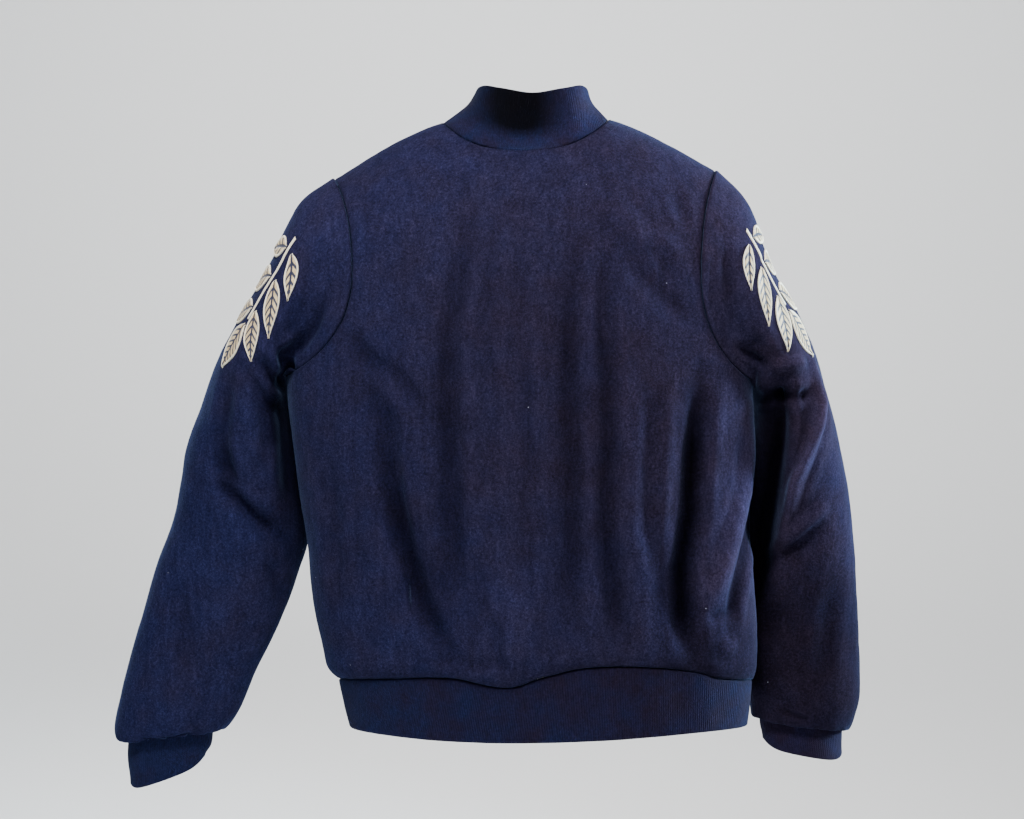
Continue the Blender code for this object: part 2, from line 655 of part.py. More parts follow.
def on_sleeve(side, across, down):
    """The place on a sleeve's skin at distances from the spray's middle."""
    turn, along = SPRAY_MIDDLE
    step = 0.02
    here = sleeve_point(side, turn, along)
    girth = (sleeve_point(side, turn + step, along) - here).length / step
    pitch = (sleeve_point(side, turn, along + step) - here).length / step
    return sleeve_point(side, (turn + across / girth) % 1.0, along + down / pitch)


def leaf_grid(side, leaf):
    """Rows of three points from the leaf's foot to its tip."""
    ahead = math.sin(math.radians(leaf.heading)), math.cos(math.radians(leaf.heading))
    rows = []
    for i in range(LEAF_ROWS + 1):
        t = i / LEAF_ROWS
        out = t * leaf.length
        wide = leaf.width / 2 * max(math.sin(math.pi * t ** 0.85), 0.12)
        rows.append([on_sleeve(side, leaf.across + ahead[0] * out + ahead[1] * k * wide,
                               leaf.down + ahead[1] * out - ahead[0] * k * wide)
                     for k in (-1, 0, 1)])
    return rows


def stem_grid(side):
    keys, values = zip(*STEM_PATH)
    rows = []
    for i in range(STEM_ROWS + 1):
        down = keys[0] + (keys[-1] - keys[0]) * i / STEM_ROWS
        across = smooth_values(keys, values, down)
        rows.append([on_sleeve(side, across + k * STEM_HALF_WIDTH, down) for k in (-1, 1)])
    return rows


for word, sign in SIDES.items():
    patches = {"stem_" + word: stem_grid(sign)}
    for number, leaf in enumerate(LEAVES, 1):
        patches["leaf_%s_%d" % (word, number)] = leaf_grid(sign, leaf)
    for name, rows in patches.items():
        rows = [row[::sign] for row in rows]
        lift = STEM_LIFT if name.startswith("stem") else LEAF_LIFT
        wall(name, rows, skin_normals([rows]), LEAF_WALL, THREAD, lift=lift + LEAF_WALL)
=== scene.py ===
# %% [markdown]
# # A wool bomber jacket, seen from behind
#
# This lesson dresses a plain solid model of a navy bomber jacket. The real one is sewn from
# melton, a thick felted wool, with a stand collar, a hem band and cuffs of fine rib knit, a metal
# zip down the front and embroidery on the upper sleeves. Nobody wears it: it hangs filled out, as
# if held at its shoulders.
#
# Each piece of cloth is rebuilt here at a fine grid, on the same form as its plain solid. Then it
# gets what makes cloth look like cloth: creases listed one by one, seams that roll in, ribs, teeth,
# stitches, and materials made from noise and waves.

# %% Loading the plain model
import math
from bisect import bisect_right
from collections import namedtuple
from functools import lru_cache
from itertools import accumulate

import bmesh
import bpy
from mathutils import Matrix, Vector, noise


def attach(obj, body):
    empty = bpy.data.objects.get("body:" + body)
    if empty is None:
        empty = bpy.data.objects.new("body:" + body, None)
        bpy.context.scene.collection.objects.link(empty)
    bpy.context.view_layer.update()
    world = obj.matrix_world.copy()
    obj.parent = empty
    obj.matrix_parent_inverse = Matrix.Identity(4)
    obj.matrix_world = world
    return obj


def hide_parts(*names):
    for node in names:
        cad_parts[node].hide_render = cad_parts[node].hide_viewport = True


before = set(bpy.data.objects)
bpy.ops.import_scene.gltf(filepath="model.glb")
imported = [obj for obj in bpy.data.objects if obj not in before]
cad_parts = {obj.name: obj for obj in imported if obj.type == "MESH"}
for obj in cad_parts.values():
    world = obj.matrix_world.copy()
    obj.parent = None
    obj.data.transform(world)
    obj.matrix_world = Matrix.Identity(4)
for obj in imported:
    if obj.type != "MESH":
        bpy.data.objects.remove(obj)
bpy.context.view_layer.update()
MM, TINY = 0.001, 1e-9

# %% [markdown]
# ## The driving sizes
#
# A jacket is easier to describe by sections than by points. The torso is a stack of level
# sections, each with its two side edges and its depth; the sleeves and cuffs are rows of rings;
# the seams are short curves across them. These tables are in millimetres. X runs to the wearer's
# left, the back faces +Y, and Z is up.

# %% Sizes and tables of the body
WOOL_WALL, RIB_WALL, TAPE_WALL, TAPE_DEPTH = 2.4, 2.6, 1.2, 0.9
SECTION_POWER = 2.3            # how square a torso section is: 2 is an ellipse
NECK_HALF_WIDTH, NECK_POWER = 87.0, 2.5
NECK_BACK_SHARE, NECK_FRONT_SHARE = 0.66, 0.82
SHOULDER_BASE, SHOULDER_TILT = -164.0, -0.017
HEM_TUCK, HEM_TUCK_LEAN = 7.0, 3.0
ZIP_HALF_WIDTH, CHAIN_HALF_WIDTH = 7.0, 3.0
ROLL_ROWS, ARM_ROWS, ROW_SAG, ARMHOLE_CURVE = 5, 5, 42.0, 2.3
SIDE_STOPS = [0, 0.11, 0.22, 0.34, 0.46, 0.58, 0.7, 0.82, 0.94, 1]
SIDE_ROWS = len(SIDE_STOPS) - 1
LAST_ROW = ROLL_ROWS + ARM_ROWS + SIDE_ROWS
QUARTER = math.radians(90)

Level = namedtuple("Level", "z left right back front")
TORSO = [
    Level(40, 252, -242, 88, 96), Level(-100, 252, -241, 90, 98),
    Level(-164, 253, -240, 94, 101), Level(-276, 253, -239, 99, 106),
    Level(-330, 247, -239, 100, 107), Level(-380, 240, -236, 100, 107),
    Level(-440, 231, -237, 99, 106), Level(-500, 225, -241, 98, 105),
    Level(-545, 216, -243, 97, 103), Level(-590, 207, -242, 95, 100),
]
HEM_EDGE = Level(-637, 186, -233, 84, 87)

Ridge = namedtuple("Ridge", "x z")
SHOULDER = [Ridge(0, 3), Ridge(60, 3), Ridge(87, 0), Ridge(119, -12), Ridge(156, -31),
            Ridge(190, -51), Ridge(211, -63), Ridge(255, -94)]

Armhole = namedtuple("Armhole", "tip_x middle_x under_z")
ARMHOLE = {1: Armhole(202, 177, -269), -1: Armhole(199, 177, -276)}

Seam = namedtuple("Seam", "s z")
HEM_BACK = [Seam(-1, -589), Seam(-0.58, -579), Seam(-0.47, -571), Seam(-0.24, -563),
            Seam(-0.09, -564), Seam(-0.01, -572), Seam(0.06, -583), Seam(0.13, -582),
            Seam(0.24, -575), Seam(0.47, -578), Seam(0.86, -585), Seam(1, -588)]
HEM_FRONT = [Seam(-1, -589), Seam(-0.6, -574), Seam(0, -579), Seam(0.5, -573), Seam(1, -588)]
HEM_LOWER = [Seam(-1, -634), Seam(-0.5, -632), Seam(0.1, -639), Seam(0.6, -636), Seam(1, -636)]

# %% Rings of the sleeves and cuffs, and the collar's top edge
Ring = namedtuple("Ring", "out_x out_z in_x in_z y depth bow")
SLEEVE = {
    1: [Ring(236, -87, 259, -275, -2, 68, 34), Ring(261, -131, 260, -285, -5, 71, 17),
        Ring(285, -176, 258, -298, -10, 72, 6), Ring(311, -218, 255, -312, -16, 71, 0),
        Ring(332, -260, 251, -329, -22, 69, 0), Ring(348, -303, 248, -350, -26, 66, 0),
        Ring(363, -343, 245, -375, -30, 63, 0), Ring(371, -384, 242, -402, -33, 59, 0),
        Ring(381, -427, 240, -430, -36, 56, 0), Ring(397, -470, 241, -462, -38, 53, 0),
        Ring(410, -513, 253, -501, -39, 50, 0), Ring(424, -561, 272, -546, -40, 47, 0),
        Ring(436, -607, 294, -591, -40, 44, 0), Ring(444, -643, 309, -627, -40, 40, 0),
        Ring(441, -660, 325, -648, -40, 33, 0), Ring(429, -654, 338, -645, -40, 25, 0)],
    -1: [Ring(230, -84, 244, -281, -2, 68, 30), Ring(246, -119, 247, -288, -6, 71, 16),
         Ring(262, -157, 248, -299, -12, 72, 6), Ring(288, -200, 248, -313, -20, 71, 0),
         Ring(308, -240, 247, -331, -28, 69, 0), Ring(323, -288, 246, -352, -36, 67, 0),
         Ring(336, -330, 244, -378, -44, 64, 0), Ring(347, -376, 241, -405, -52, 61, 0),
         Ring(356, -430, 239, -438, -60, 58, 0), Ring(361, -487, 234, -477, -65, 54, 0),
         Ring(364, -535, 233, -520, -67, 51, 0), Ring(366, -580, 235, -562, -68, 48, 0),
         Ring(366, -617, 240, -600, -68, 45, 0), Ring(361, -640, 246, -625, -68, 41, 0),
         Ring(354, -654, 248, -640, -68, 35, 0), Ring(347, -645, 256, -631, -68, 26, 0)],
}
CUFF = {
    1: [Ring(429, -654, 338, -645, -40, 25, 0), Ring(430, -682, 340, -667, -40, 24, 0),
        Ring(429, -713, 345, -684, -40, 26, 0)],
    -1: [Ring(347, -645, 256, -631, -68, 26, 0), Ring(347, -665, 257, -651, -67, 26, 0),
         Ring(349, -686, 258, -670, -66, 28, 0)],
}
COLLAR_LEAN = -6.0
Rim = namedtuple("Rim", "x y z")
COLLAR_TOP = [Rim(0, 35, 23), Rim(33, 32, 29), Rim(52, 19, 34), Rim(60, -6, 31),
              Rim(58, -34, 18), Rim(46, -57, -2), Rim(24, -70, -17), Rim(9, -75, -24)]

# %% [markdown]
# ## The large folds
#
# The plain solids already have the largest folds. Each is a path seen straight from behind or in
# front, with half its width and its height: negative for a trough, positive for a ridge. They are
# repeated here, so that the fine cloth lies where the plain solid does.

# %% Large folds
Fold = namedtuple("Fold", "path width height")
BACK_FOLDS = [
    Fold([(88, -190), (78, -445), (74, -500)], 26, -4),
    Fold([(180, -243), (147, -317), (139, -384), (106, -475), (78, -544)], 26, -7),
    Fold([(-30, -150), (-41, -342), (-41, -545)], 26, -4),
    Fold([(-73, -211), (-77, -443), (-98, -558)], 26, -3),
    Fold([(-169, -270), (-163, -382), (-151, -484), (-163, -549)], 26, -9),
    Fold([(-214, -380), (-200, -448), (-179, -512)], 22, 6),
    Fold([(20, -470), (18, -570)], 40, 5),
]
FRONT_FOLDS = [
    Fold([(150, -230), (120, -330), (112, -460)], 28, -6),
    Fold([(60, -300), (52, -560)], 26, -4),
    Fold([(-140, -250), (-118, -350), (-96, -500)], 28, -7),
    Fold([(-60, -330), (-66, -560)], 26, -3),
    Fold([(178, -420), (160, -560)], 28, 5),
]
BODY_FOLDS = {1: BACK_FOLDS, -1: FRONT_FOLDS}
SLEEVE_FOLDS = {
    1: [Fold([(222, -190), (246, -235)], 18, -6), Fold([(268, -285), (266, -350)], 18, -6),
        Fold([(330, -335), (290, -410), (262, -436)], 20, -6)],
    -1: [Fold([(228, -225), (250, -268)], 18, -7),
         Fold([(310, -290), (305, -340), (272, -425)], 22, 5),
         Fold([(312, -434), (270, -462), (244, -476)], 18, -6)],
}

# %% [markdown]
# ## Smooth curves through short tables
#
# A table row gives a few exact values. Between them a cubic curve runs with the slope of the
# neighbouring rows, so a handful of rows gives a soft outline. A step with soft ends is the other
# tool that everything below leans on: it fades folds, seams and gathers in and out.

# %% Curves and soft steps
def bracket(keys, at):
    """The step of a rising list that holds a value, and how far along that step it lies."""
    i = min(max(bisect_right(keys, at) - 1, 0), len(keys) - 2)
    return i, (at - keys[i]) / max(keys[i + 1] - keys[i], TINY)


def smooth_values(keys, values, at):
    """Cubic interpolation whose slope at each row is that between its two neighbours."""
    i, t = bracket(keys, min(max(at, keys[0]), keys[-1]))
    low, high = max(i - 1, 0), min(i + 2, len(keys) - 1)
    span, a, b = keys[i + 1] - keys[i], values[i], values[i + 1]
    slope_a = (b - values[low]) / (keys[i + 1] - keys[low]) * span
    slope_b = (values[high] - a) / (keys[high] - keys[i]) * span
    return (a * (2 * t**3 - 3 * t**2 + 1) + slope_a * (t**3 - 2 * t**2 + t)
            + b * (3 * t**2 - 2 * t**3) + slope_b * (t**3 - t**2))


def smooth_step(low, high, value):
    t = min(max((value - low) / (high - low), 0.0), 1.0)
    return t * t * (3 - 2 * t)


def falling_step(high, low, value):
    return smooth_step(-high, -low, -value)


def column(rows, name):
    return [getattr(row, name) for row in rows]


LEVEL_Z = column(TORSO, "z")[::-1]
LEVELS = {name: column(TORSO, name)[::-1] for name in ("left", "right", "back", "front")}
RIDGE_X, RIDGE_Z = column(SHOULDER, "x"), column(SHOULDER, "z")
HEM = {face: (column(rows, "s"), column(rows, "z"))
       for face, rows in ((1, HEM_BACK), (-1, HEM_FRONT), (0, HEM_LOWER))}
print("torso levels:", len(TORSO), "sleeve rings:", len(SLEEVE[1]))

# %% [markdown]
# ## One function for every fold
#
# A fold's height at a place depends on the distance to its path. Here the large folds use a plain
# cosine across, as in the solid. Finer creases come later with a livelier profile.

# %% Heights of the large folds
def nearest_on(path, x, z, reach):
    """Distance to a path, how far along it that is (0 to 1), and on which side; or None."""
    best, count = (reach, None, 1), len(path) - 1
    for i in range(count):
        (ax, az), (bx, bz) = path[i], path[i + 1]
        dx, dz = bx - ax, bz - az
        t = min(max(((x - ax) * dx + (z - az) * dz) / (dx * dx + dz * dz), 0.0), 1.0)
        ox, oz = x - ax - t * dx, z - az - t * dz
        distance = math.hypot(ox, oz)
        if distance < best[0]:
            best = distance, (i + t) / count, 1 if dx * oz - dz * ox > 0 else -1
    return None if best[1] is None else best


def fold_height(folds, x, z):
    total = 0.0
    for fold in folds:
        found = nearest_on(fold.path, x, z, fold.width)
        if found:
            across = 0.5 + 0.5 * math.cos(math.pi * found[0] / fold.width)
            along = smooth_step(0, 0.25, found[1]) * smooth_step(0, 0.25, 1 - found[1])
            total += fold.height * across * (0.25 + 0.75 * along)
    return total


# %% [markdown]
# ## The torso's skin
#
# Every panel is a grid on one skin. A point of it is named by its face (1 the back, -1 the
# front), by s, which runs from the right edge over the centre to the left edge, and by its row,
# which runs from the neck and shoulder seams down to the hem seam. The first rows roll over the
# shoulders, the next lie beside the armholes, and the last run down the sides. Because the name
# is continuous, the same function gives a coarse grid or a fine one.

# %% Sections and edges of the torso
def torso_level(z):
    """Centre, half-width, back depth and front depth of the torso's section at a level."""
    left, right, back, front = [smooth_values(LEVEL_Z, values, z) for values in LEVELS.values()]
    return (left + right) / 2, (left - right) / 2, back, front


def shoulder_ridge(x):
    return smooth_values(RIDGE_X, RIDGE_Z, abs(x)) + SHOULDER_TILT * x


def rolled(ridge, roll):
    """The level that an angle rolled over the shoulder reaches, from the ridge's own."""
    return ridge - (ridge - SHOULDER_BASE) * (1 - math.cos(roll))


def section_angle(x, z):
    centre, half_width, _, _ = torso_level(z)
    return math.asin(min(abs(x - centre) / half_width, 1.0) ** (SECTION_POWER / 2))


def section_place(side, angle, centre, half_width, depth):
    x = centre + side * half_width * math.sin(angle) ** (2 / SECTION_POWER)
    return x, depth * max(math.cos(angle), 0.0) ** (2 / SECTION_POWER)


@lru_cache(None)
def armhole_edge(side, row):
    """Section angle and level of the armhole seam, or of the side seam below it, at a row."""
    hole = ARMHOLE[side]
    if row <= ROLL_ROWS:
        roll = QUARTER * row / ROLL_ROWS
        x = side * (hole.middle_x + (hole.tip_x - hole.middle_x) * math.cos(roll) ** 2)
        z = rolled(shoulder_ridge(x), roll)
        return section_angle(x, z), z
    if row < ROLL_ROWS + ARM_ROWS:
        down = (row - ROLL_ROWS) / ARM_ROWS
        middle = section_angle(side * hole.middle_x, SHOULDER_BASE)
        z = SHOULDER_BASE + (hole.under_z - SHOULDER_BASE) * math.sin(QUARTER * down)
        return middle + (QUARTER - middle) * down ** ARMHOLE_CURVE, z
    return QUARTER, hole.under_z


NECK = {side: section_angle(side * NECK_HALF_WIDTH, 0.0) / armhole_edge(side, 0)[0]
        for side in (1, -1)}

# %% Rows that start at the neck seam
# They crowd together below the neck seam only, so that they stay level past the neck point.
CROWD_SHARE, CROWD_MORE = 1.35, math.radians(7)


def crowded_to(start):
    return min(CROWD_SHARE * start + CROWD_MORE, QUARTER)


def shoulder_roll(start, row):
    """The angle rolled over the shoulder at a row of a column that starts at an angle."""
    plain, meet = QUARTER * row / ROLL_ROWS, crowded_to(start)
    return plain if plain >= meet else start + (meet - start) * plain / meet


def row_of_roll(start, roll):
    """The row at which such a column has rolled to an angle."""
    meet = crowded_to(start)
    return (roll if roll >= meet else (roll - start) * meet / (meet - start)) * ROLL_ROWS / QUARTER


# %% A point of the torso
def torso_point(face, s, row):
    """A point of the torso's outer skin, in mm."""
    side = 1 if s >= 0 else -1
    edge_angle, edge_z = armhole_edge(side, row)
    angle, thickness = abs(s) * edge_angle, 1.0
    if row <= ROLL_ROWS:
        centre, half_width, _, _ = torso_level(edge_z)
        x, _ = section_place(side, angle, centre, half_width, 0)
        start = 0.0
        if abs(s) < NECK[side]:
            hole = (1 - (abs(s) / NECK[side]) ** NECK_POWER) ** (1 / NECK_POWER)
            start = math.asin((NECK_BACK_SHARE if face > 0 else NECK_FRONT_SHARE) * hole)
        roll = shoulder_roll(start, row)
        z, thickness = rolled(shoulder_ridge(x), roll), math.sin(roll)
    else:
        under = (ARMHOLE[1].under_z + ARMHOLE[-1].under_z) / 2
        turned = min((row - ROLL_ROWS) / ARM_ROWS, 1.0)
        middle_z = SHOULDER_BASE + (under - SHOULDER_BASE) * math.sin(QUARTER * turned)
        middle_z -= ROW_SAG * turned ** 3
        z = middle_z + (edge_z - middle_z) * abs(s) ** 6
        if row > ROLL_ROWS + ARM_ROWS:
            step = min(int(row) - ROLL_ROWS - ARM_ROWS, SIDE_ROWS - 1)
            part = row - ROLL_ROWS - ARM_ROWS - step
            down = SIDE_STOPS[step] + (SIDE_STOPS[step + 1] - SIDE_STOPS[step]) * part
            z += (smooth_values(*HEM[face], s) - z) * down
        centre, half_width, _, _ = torso_level(z)
        x, _ = section_place(side, angle, centre, half_width, 0)
    _, _, back, front = torso_level(z)
    _, y = section_place(side, angle, 0, 0, back if face > 0 else front)
    outward = Vector((math.sin(angle) * side, face * math.cos(angle), 0))
    fade = smooth_step(0, 0.25, math.cos(angle)) * smooth_step(0.5, 1, thickness)
    height = fade * fold_height(BODY_FOLDS[face], x, z) if fade else 0.0
    tuck = max(row - LAST_ROW + 1, 0.0) ** 2 * (HEM_TUCK + HEM_TUCK_LEAN * s)
    return Vector((x, face * y * thickness, z)) + outward * (height - tuck)


def zip_share(side, row):
    """The place s of a front panel's edge beside the zip, at a row."""
    edge_angle, edge_z = armhole_edge(side, row)
    half_width = torso_level(edge_z)[1]
    return math.asin((ZIP_HALF_WIDTH / half_width) ** (SECTION_POWER / 2)) / edge_angle


# %% [markdown]
# ## Sleeves, cuffs, hem band and collar
#
# A sleeve starts on the armhole seam and runs on through its rings. The cuff goes on from its last
# ring, which is turned up inside, so that the wool hangs a little over the knit. The hem band
# hangs from the hem seam, and the collar stands between the neck seam and its own top edge.

# %% Ring and rib functions
def ring_point(side, ring, turn):
    """A point on one ring; turn runs 0..1 from the outer point over the back and round."""
    angle = 2 * math.pi * turn
    middle_x, middle_z = (ring.out_x + ring.in_x) / 2, (ring.out_z + ring.in_z) / 2
    x = middle_x + (ring.out_x - middle_x) * math.cos(angle) - ring.bow * math.sin(angle) ** 2
    z = middle_z + (ring.out_z - middle_z) * math.cos(angle)
    return Vector((side * x, ring.y + ring.depth * math.sin(angle), z))


RING_KEYS = list(range(len(SLEEVE[1]) + 1))


@lru_cache(None)
def sleeve_line(side, turn):
    """A sleeve's points at a turn: one on the armhole seam, and one on each ring."""
    down = 2 * (ROLL_ROWS + ARM_ROWS) * min(turn, 1 - turn)
    start = torso_point(1 if turn <= 0.5 else -1, side, down)
    return [start] + [ring_point(side, ring, turn) for ring in SLEEVE[side]]


def sleeve_point(side, turn, along):
    """A point of a sleeve's outer skin; along counts the rings from the armhole seam."""
    place = smooth_values(RING_KEYS, sleeve_line(side, turn), along)
    angle = 2 * math.pi * turn
    fade = smooth_step(-0.1, 0.6, math.sin(angle)) * smooth_step(0, 1, along)
    if fade:
        outward = Vector((side * math.cos(angle) * 0.6, math.sin(angle), 0)).normalized()
        place += outward * fold_height(SLEEVE_FOLDS[side], abs(place.x), place.z) * fade
    return place


def cuff_point(side, turn, down):
    """down runs 0..1 from the sleeve's last ring to the cuff's edge."""
    values = [smooth_values([0, 1, 2], measures, 2 * down) for measures in zip(*CUFF[side])]
    return ring_point(side, Ring(*values), turn)


def hem_band_ends(face, s):
    """The hem seam's point at s, and the band's lower edge below it."""
    centre, half_width = (HEM_EDGE.left + HEM_EDGE.right) / 2, (HEM_EDGE.left - HEM_EDGE.right) / 2
    depth = HEM_EDGE.back if face > 0 else HEM_EDGE.front
    x, y = section_place(1 if s >= 0 else -1, abs(s) * QUARTER, centre, half_width, depth)
    low = Vector((x, face * y, smooth_values(*HEM[0], s)))
    return torso_point(face, s, LAST_ROW), low


COLLAR_KEYS = [i / (len(COLLAR_TOP) - 1) for i in range(-1, len(COLLAR_TOP))]


def collar_ends(side, at):
    """The neck seam's point and the collar's top edge, from the centre back (0) to the front."""
    neck, inner = NECK[side], zip_share(side, 0)
    if at <= 0.5:
        low = torso_point(1, side * neck * at * 2, 0)
    else:
        low = torso_point(-1, side * (inner + (neck - inner) * (1 - at) * 2), 0)
    # One more key, mirrored, makes the middle level.
    x, y, z = [smooth_values(COLLAR_KEYS, [sign * values[1], *values], at)
               for sign, values in zip((-1, 1, 1), zip(*COLLAR_TOP))]
    return low, Vector((side * x + COLLAR_LEAN, y, z))


# %% [markdown]
# ## Creases, listed one by one
#
# Thick wool does not wrinkle sharply. It hangs in long soft furrows from the shoulders, turns
# over in a roll at the elbow, and bunches where the rib pulls it in. Each crease is a path with a
# reach and a height, as the large folds are, but its profile also lifts the cloth a little on
# both sides, which is what makes a furrow look soft. A skew makes one side steeper than the
# other. No two are alike in length, depth or spacing.

# %% A crease and its profile
CREASE_DEPTH = 1.6                               # one scale for all of them


class Crease:
    """A soft trough (height below 0) or ridge along a path of (x, z) places, in mm."""

    def __init__(self, path, reach, height, skew=0.0):
        self.path, self.reach, self.height, self.skew = path, reach, height, skew
        self.widest = reach * (1 + abs(skew))
        self.box = [(min(values) - self.widest, max(values) + self.widest) for values in zip(*path)]

    def height_at(self, x, z):
        (low_x, high_x), (low_z, high_z) = self.box
        if not (low_x < x < high_x and low_z < z < high_z):
            return 0.0
        found = nearest_on(self.path, x, z, self.widest)
        if not found:
            return 0.0
        distance, along, side = found
        t = distance / (self.reach * (1 + self.skew * side))
        if t >= 1:
            return 0.0
        fade = smooth_step(0, 0.3, along) * smooth_step(0, 0.3, 1 - along)
        profile = (1 - 3.0 * t * t) * (1 - t * t) ** 2
        return CREASE_DEPTH * self.height * profile * (0.15 + 0.85 * fade)


# %% The back's creases
CREASES = {"back": [
    Crease([(58, -70), (64, -140), (78, -230), (79, -312), (76, -380), (70, -450), (72, -520)], 26, -3.2),
    Crease([(180, -222), (164, -248), (128, -272), (92, -322)], 24, -3.4, 0.2),
    Crease([(138, -310), (132, -400), (122, -445), (107, -490), (86, -536), (62, -562)], 26, -4.2, 0.2),
    Crease([(4, -80), (10, -190), (2, -300), (-3, -380), (4, -470), (6, -540)], 24, -2.0),
    Crease([(36, -105), (42, -230), (36, -310), (34, -380)], 22, -1.6),
    Crease([(44, -440), (50, -500), (54, -556)], 22, -2.2),
    Crease([(14, -440), (8, -510), (12, -560)], 26, 2.0),
    Crease([(-88, -110), (-110, -160), (-142, -192), (-168, -214)], 26, -2.2, 0.2),
    Crease([(-72, -90), (-110, -125), (-160, -150)], 26, 1.8),
    Crease([(-42, -80), (-50, -150), (-43, -234), (-43, -294), (-46, -366), (-46, -455), (-48, -512),
            (-54, -556)], 24, -3.2),
    Crease([(-84, -100), (-78, -205), (-81, -294), (-80, -409), (-83, -466), (-91, -521),
            (-100, -556)], 22, -4.4, -0.15),
    Crease([(-126, -270), (-127, -308), (-124, -423), (-132, -466), (-134, -550)], 24, -2.8),
    Crease([(-173, -270), (-175, -294), (-169, -351), (-166, -409), (-156, -466), (-157, -518),
            (-169, -560)], 27, -6.0, -0.2),
    Crease([(-234, -300), (-232, -350), (-225, -392), (-211, -435), (-199, -475), (-185, -514)],
           18, 4.0),
    Crease([(-240, -395), (-228, -448), (-214, -496), (-206, -535)], 17, -5.0),
    Crease([(-178, -512), (-192, -516), (-208, -512)], 15, -2.2, -0.2),
    Crease([(-196, -540), (-214, -552)], 20, 2.0),
    Crease([(-117, -119), (-137, -153), (-152, -188)], 22, -1.8),
    Crease([(-149, -76), (-163, -119)], 18, -1.4),
    Crease([(35, -505), (29, -552), (23, -568)], 18, -3.4, 0.2),
    Crease([(10, -540), (-3, -578)], 8, -1.5),
    Crease([(-16, -542), (-24, -570)], 8, -1.5),
    Crease([(104, -554), (65, -560), (30, -559)], 16, -1.6),
    Crease([(176, -420), (168, -480)], 22, -1.5),
    Crease([(205, -330), (196, -420), (190, -520)], 26, -1.8),
], "front": [
    Crease([(160, -215), (138, -270), (118, -330), (112, -430)], 26, -3.6, 0.2),
    Crease([(96, -180), (86, -300), (92, -410)], 30, -1.8),
    Crease([(190, -300), (176, -380), (150, -450), (120, -520), (98, -560)], 24, -3.6, 0.2),
    Crease([(52, -330), (44, -420), (50, -520), (56, -560)], 22, -2.6),
    Crease([(196, -470), (206, -520), (190, -560)], 20, 2.6),
    Crease([(-150, -230), (-132, -290), (-112, -350), (-104, -470)], 26, -3.8, -0.2),
    Crease([(-66, -210), (-58, -330), (-64, -440)], 28, -1.6),
    Crease([(-188, -320), (-172, -410), (-140, -490), (-112, -556)], 24, -3.4, -0.15),
    Crease([(-44, -400), (-50, -500), (-44, -560)], 20, -2.4),
    Crease([(-204, -480), (-190, -540)], 20, 2.6),
]}

# %% The sleeves' creases; x is the distance from the centre, whichever the side
CREASES.update({"left sleeve back": [
    Crease([(198, -182), (209, -203), (217, -222), (230, -238), (246, -250), (247, -266)], 15, -4.6, 0.2),
    Crease([(282, -246), (268, -263), (255, -276), (247, -288)], 18, -4.4),
    Crease([(296, -252), (280, -276), (270, -302)], 15, -2.4),
    Crease([(262, -228), (250, -246), (245, -268), (246, -290), (243, -330), (240, -370)], 15, -3.2),
    Crease([(262, -274), (254, -317), (252, -370), (250, -420)], 22, -5.0),
    Crease([(304, -262), (312, -300), (316, -345), (311, -384), (298, -402)], 20, -3.8),
    Crease([(290, -290), (284, -330), (286, -372)], 20, 2.6),
    Crease([(322, -376), (314, -386), (297, -400), (284, -415), (262, -436), (252, -452)], 11, -2.0, 0.2),
    Crease([(336, -362), (308, -380), (286, -396), (266, -414)], 16, 2.2),
    Crease([(272, -460), (266, -488), (258, -516)], 16, -2.4),
    Crease([(372, -470), (356, -540), (362, -600)], 26, -1.8),
    Crease([(412, -655), (390, -657), (363, -651), (338, -645)], 8, -1.6),
], "left sleeve front": [
    Crease([(214, -200), (236, -236), (250, -262)], 18, -4.4),
    Crease([(300, -236), (280, -262), (258, -284)], 18, -3.2),
    Crease([(330, -330), (300, -352), (266, -372)], 18, -3.6, 0.2),
    Crease([(352, -384), (318, -402), (280, -414)], 20, 2.2),
    Crease([(346, -410), (306, -424), (266, -440)], 19, -3.2, 0.2),
    Crease([(388, -500), (350, -516), (300, -520)], 18, -2.4),
    Crease([(412, -655), (390, -657), (363, -651), (338, -645)], 8, -1.6),
], "right sleeve back": [
    Crease([(203, -130), (205, -173), (209, -200), (211, -226)], 13, -3.0),
    Crease([(214, -238), (230, -248), (248, -259)], 10, -3.2),
    Crease([(244, -262), (268, -257), (292, -255)], 17, 4.0),
    Crease([(236, -286), (262, -292), (286, -290), (300, -284)], 16, -5.0),
    Crease([(298, -250), (305, -291), (301, -322), (291, -351), (281, -378), (271, -440)], 14, 7.0, 0.25),
    Crease([(262, -258), (262, -292), (261, -340), (256, -400), (250, -470), (246, -535)], 28, -8.5),
    Crease([(316, -424), (298, -440), (281, -454), (265, -466)], 10, -0.7, 0.2),
    Crease([(324, -404), (298, -424), (272, -450)], 15, 3.2, -0.3),
    Crease([(330, -480), (322, -540), (316, -600)], 26, -1.6),
    Crease([(268, -505), (262, -560)], 20, -1.8),
    Crease([(270, -626), (291, -634), (310, -641)], 8, -1.6),
], "right sleeve front": [
    Crease([(218, -196), (232, -232), (246, -262)], 18, -4.4),
    Crease([(306, -270), (284, -310), (262, -352)], 22, -3.0),
    Crease([(338, -380), (300, -402), (252, -420)], 20, -3.0, 0.2),
    Crease([(342, -408), (306, -430), (258, -446)], 20, 2.0),
    Crease([(344, -440), (306, -458), (250, -470)], 19, -3.0, 0.2),
    Crease([(352, -540), (312, -552), (262, -548)], 20, -2.2),
    Crease([(270, -626), (291, -634), (310, -641)], 8, -1.6),
]})


def crease_height(group, x, z):
    return sum(crease.height_at(x, z) for crease in CREASES[group])


print("creases:", {name: len(rows) for name, rows in CREASES.items()})

# %% [markdown]
# ## From a grid to a sheet of cloth
#
# A sheet is a grid of points moved out or in along its own normals. Three small things happen on
# the way. The height of the creases is added, with a little noise, because felted wool is never
# quite even. Near a seam the cloth turns in on a small radius, and puckers slightly. And the
# grid's lines lie closer together beside a seam, so that this turn has points to be made of.
#
# Blender's Solidify modifier then gives the wall its thickness, inwards.

